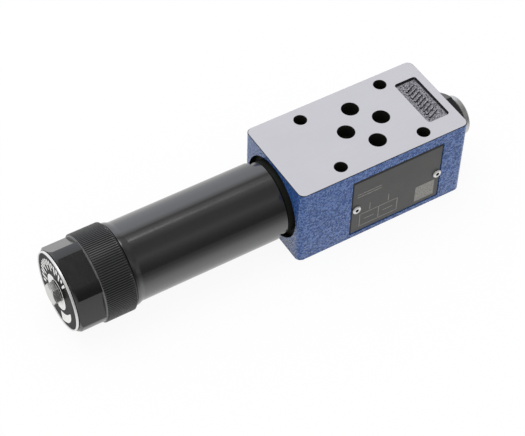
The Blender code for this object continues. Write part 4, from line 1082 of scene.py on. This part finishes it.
near_side = paper.place().along("Y")
in_front = 1.0 - near_side.rises(-0.20, -0.02) * 0.35 - near_side.rises(-0.085, -0.015) * 0.65
mirrored = paper.node("LightPath", out="Is Glossy Ray")
sheet = (mirrored * in_front).blend((1.0, 1.0, 1.0, 1.0), (0.12, 0.12, 0.12, 1.0))
glow = paper.node("Emission", (), {"Color": sheet, "Strength": 1.0})
floor_mix = paper.node("MixShader", (), {0: looked_at(paper) * 0.92, 1: lit_paper, 2: glow})
tree.links.new(floor_mix.socket, tree.nodes["Material Output"].inputs["Surface"])
floor_mesh.materials.append(floor_material)

world = bpy.data.worlds.new("studio")
world.use_nodes = True
bpy.context.scene.world = world
sky = Wire(world.node_tree)
background = world.node_tree.nodes["Background"]
depth = sky.node("TexCoord", out="Generated").along("Y") * 0.5 + 0.5
ROOM = ((0.0, 0.07), (0.04, 0.07), (0.16, 0.28), (0.25, 0.18), (0.41, 0.165), (0.50, 0.28),
        (0.60, 0.36), (0.685, 0.40), (0.70, 0.24), (0.74, 0.24), (0.76, 0.52), (0.80, 0.76),
        (0.84, 1.0), (1.0, 1.0))
room = depth.node("ValToRGB", {"stops": [(place, (grey,) * 3) for place, grey in ROOM]},
                  {"Fac": depth})
mirrored = sky.node("LightPath", out="Is Glossy Ray")
DAYLIGHT = 0.85
bright = looked_at(sky) * (1.0 - DAYLIGHT) + DAYLIGHT + mirrored * (room - 1.0)
world.node_tree.links.new(bright.socket, background.inputs["Strength"])
tint = (mirrored * depth.rises(0.7, 0.9)).blend((1.0, 1.0, 1.0, 1.0), (0.90, 0.93, 1.0, 1.0))
world.node_tree.links.new(tint.socket, background.inputs["Color"])

softbox_light = bpy.data.lights.new("upper_softbox", "AREA")
softbox_light.shape = "RECTANGLE"
softbox_light.size = 0.6
softbox_light.size_y = 0.5
softbox_light.energy = 1.7
softbox = bpy.data.objects.new("upper_softbox", softbox_light)
softbox.location = (-0.15, 0.15, 0.75)
valve_middle = Vector((-0.03, 0.0, 0.02))
softbox.rotation_euler = (valve_middle - softbox.location).to_track_quat("-Z", "Y").to_euler()
bpy.context.scene.collection.objects.link(softbox)

camera_data = bpy.data.cameras.new("camera")
camera_data.sensor_width = 36.0
camera_data.lens = 112.28
camera_data.clip_start = 0.01
camera = bpy.data.objects.new("camera", camera_data)
forward = Vector((0.353605, 0.554631, -0.753225)).normalized()
up = Vector((0.381582, 0.649669, 0.657514)).normalized()
side = forward.cross(up).normalized()
up = side.cross(forward)
camera.location = (-0.29074, -0.38159, 0.52716)
camera.rotation_euler = Matrix((side, up, -forward)).transposed().to_euler()
bpy.context.scene.collection.objects.link(camera)
bpy.context.scene.camera = camera
bpy.context.scene.view_settings.view_transform = "Standard"
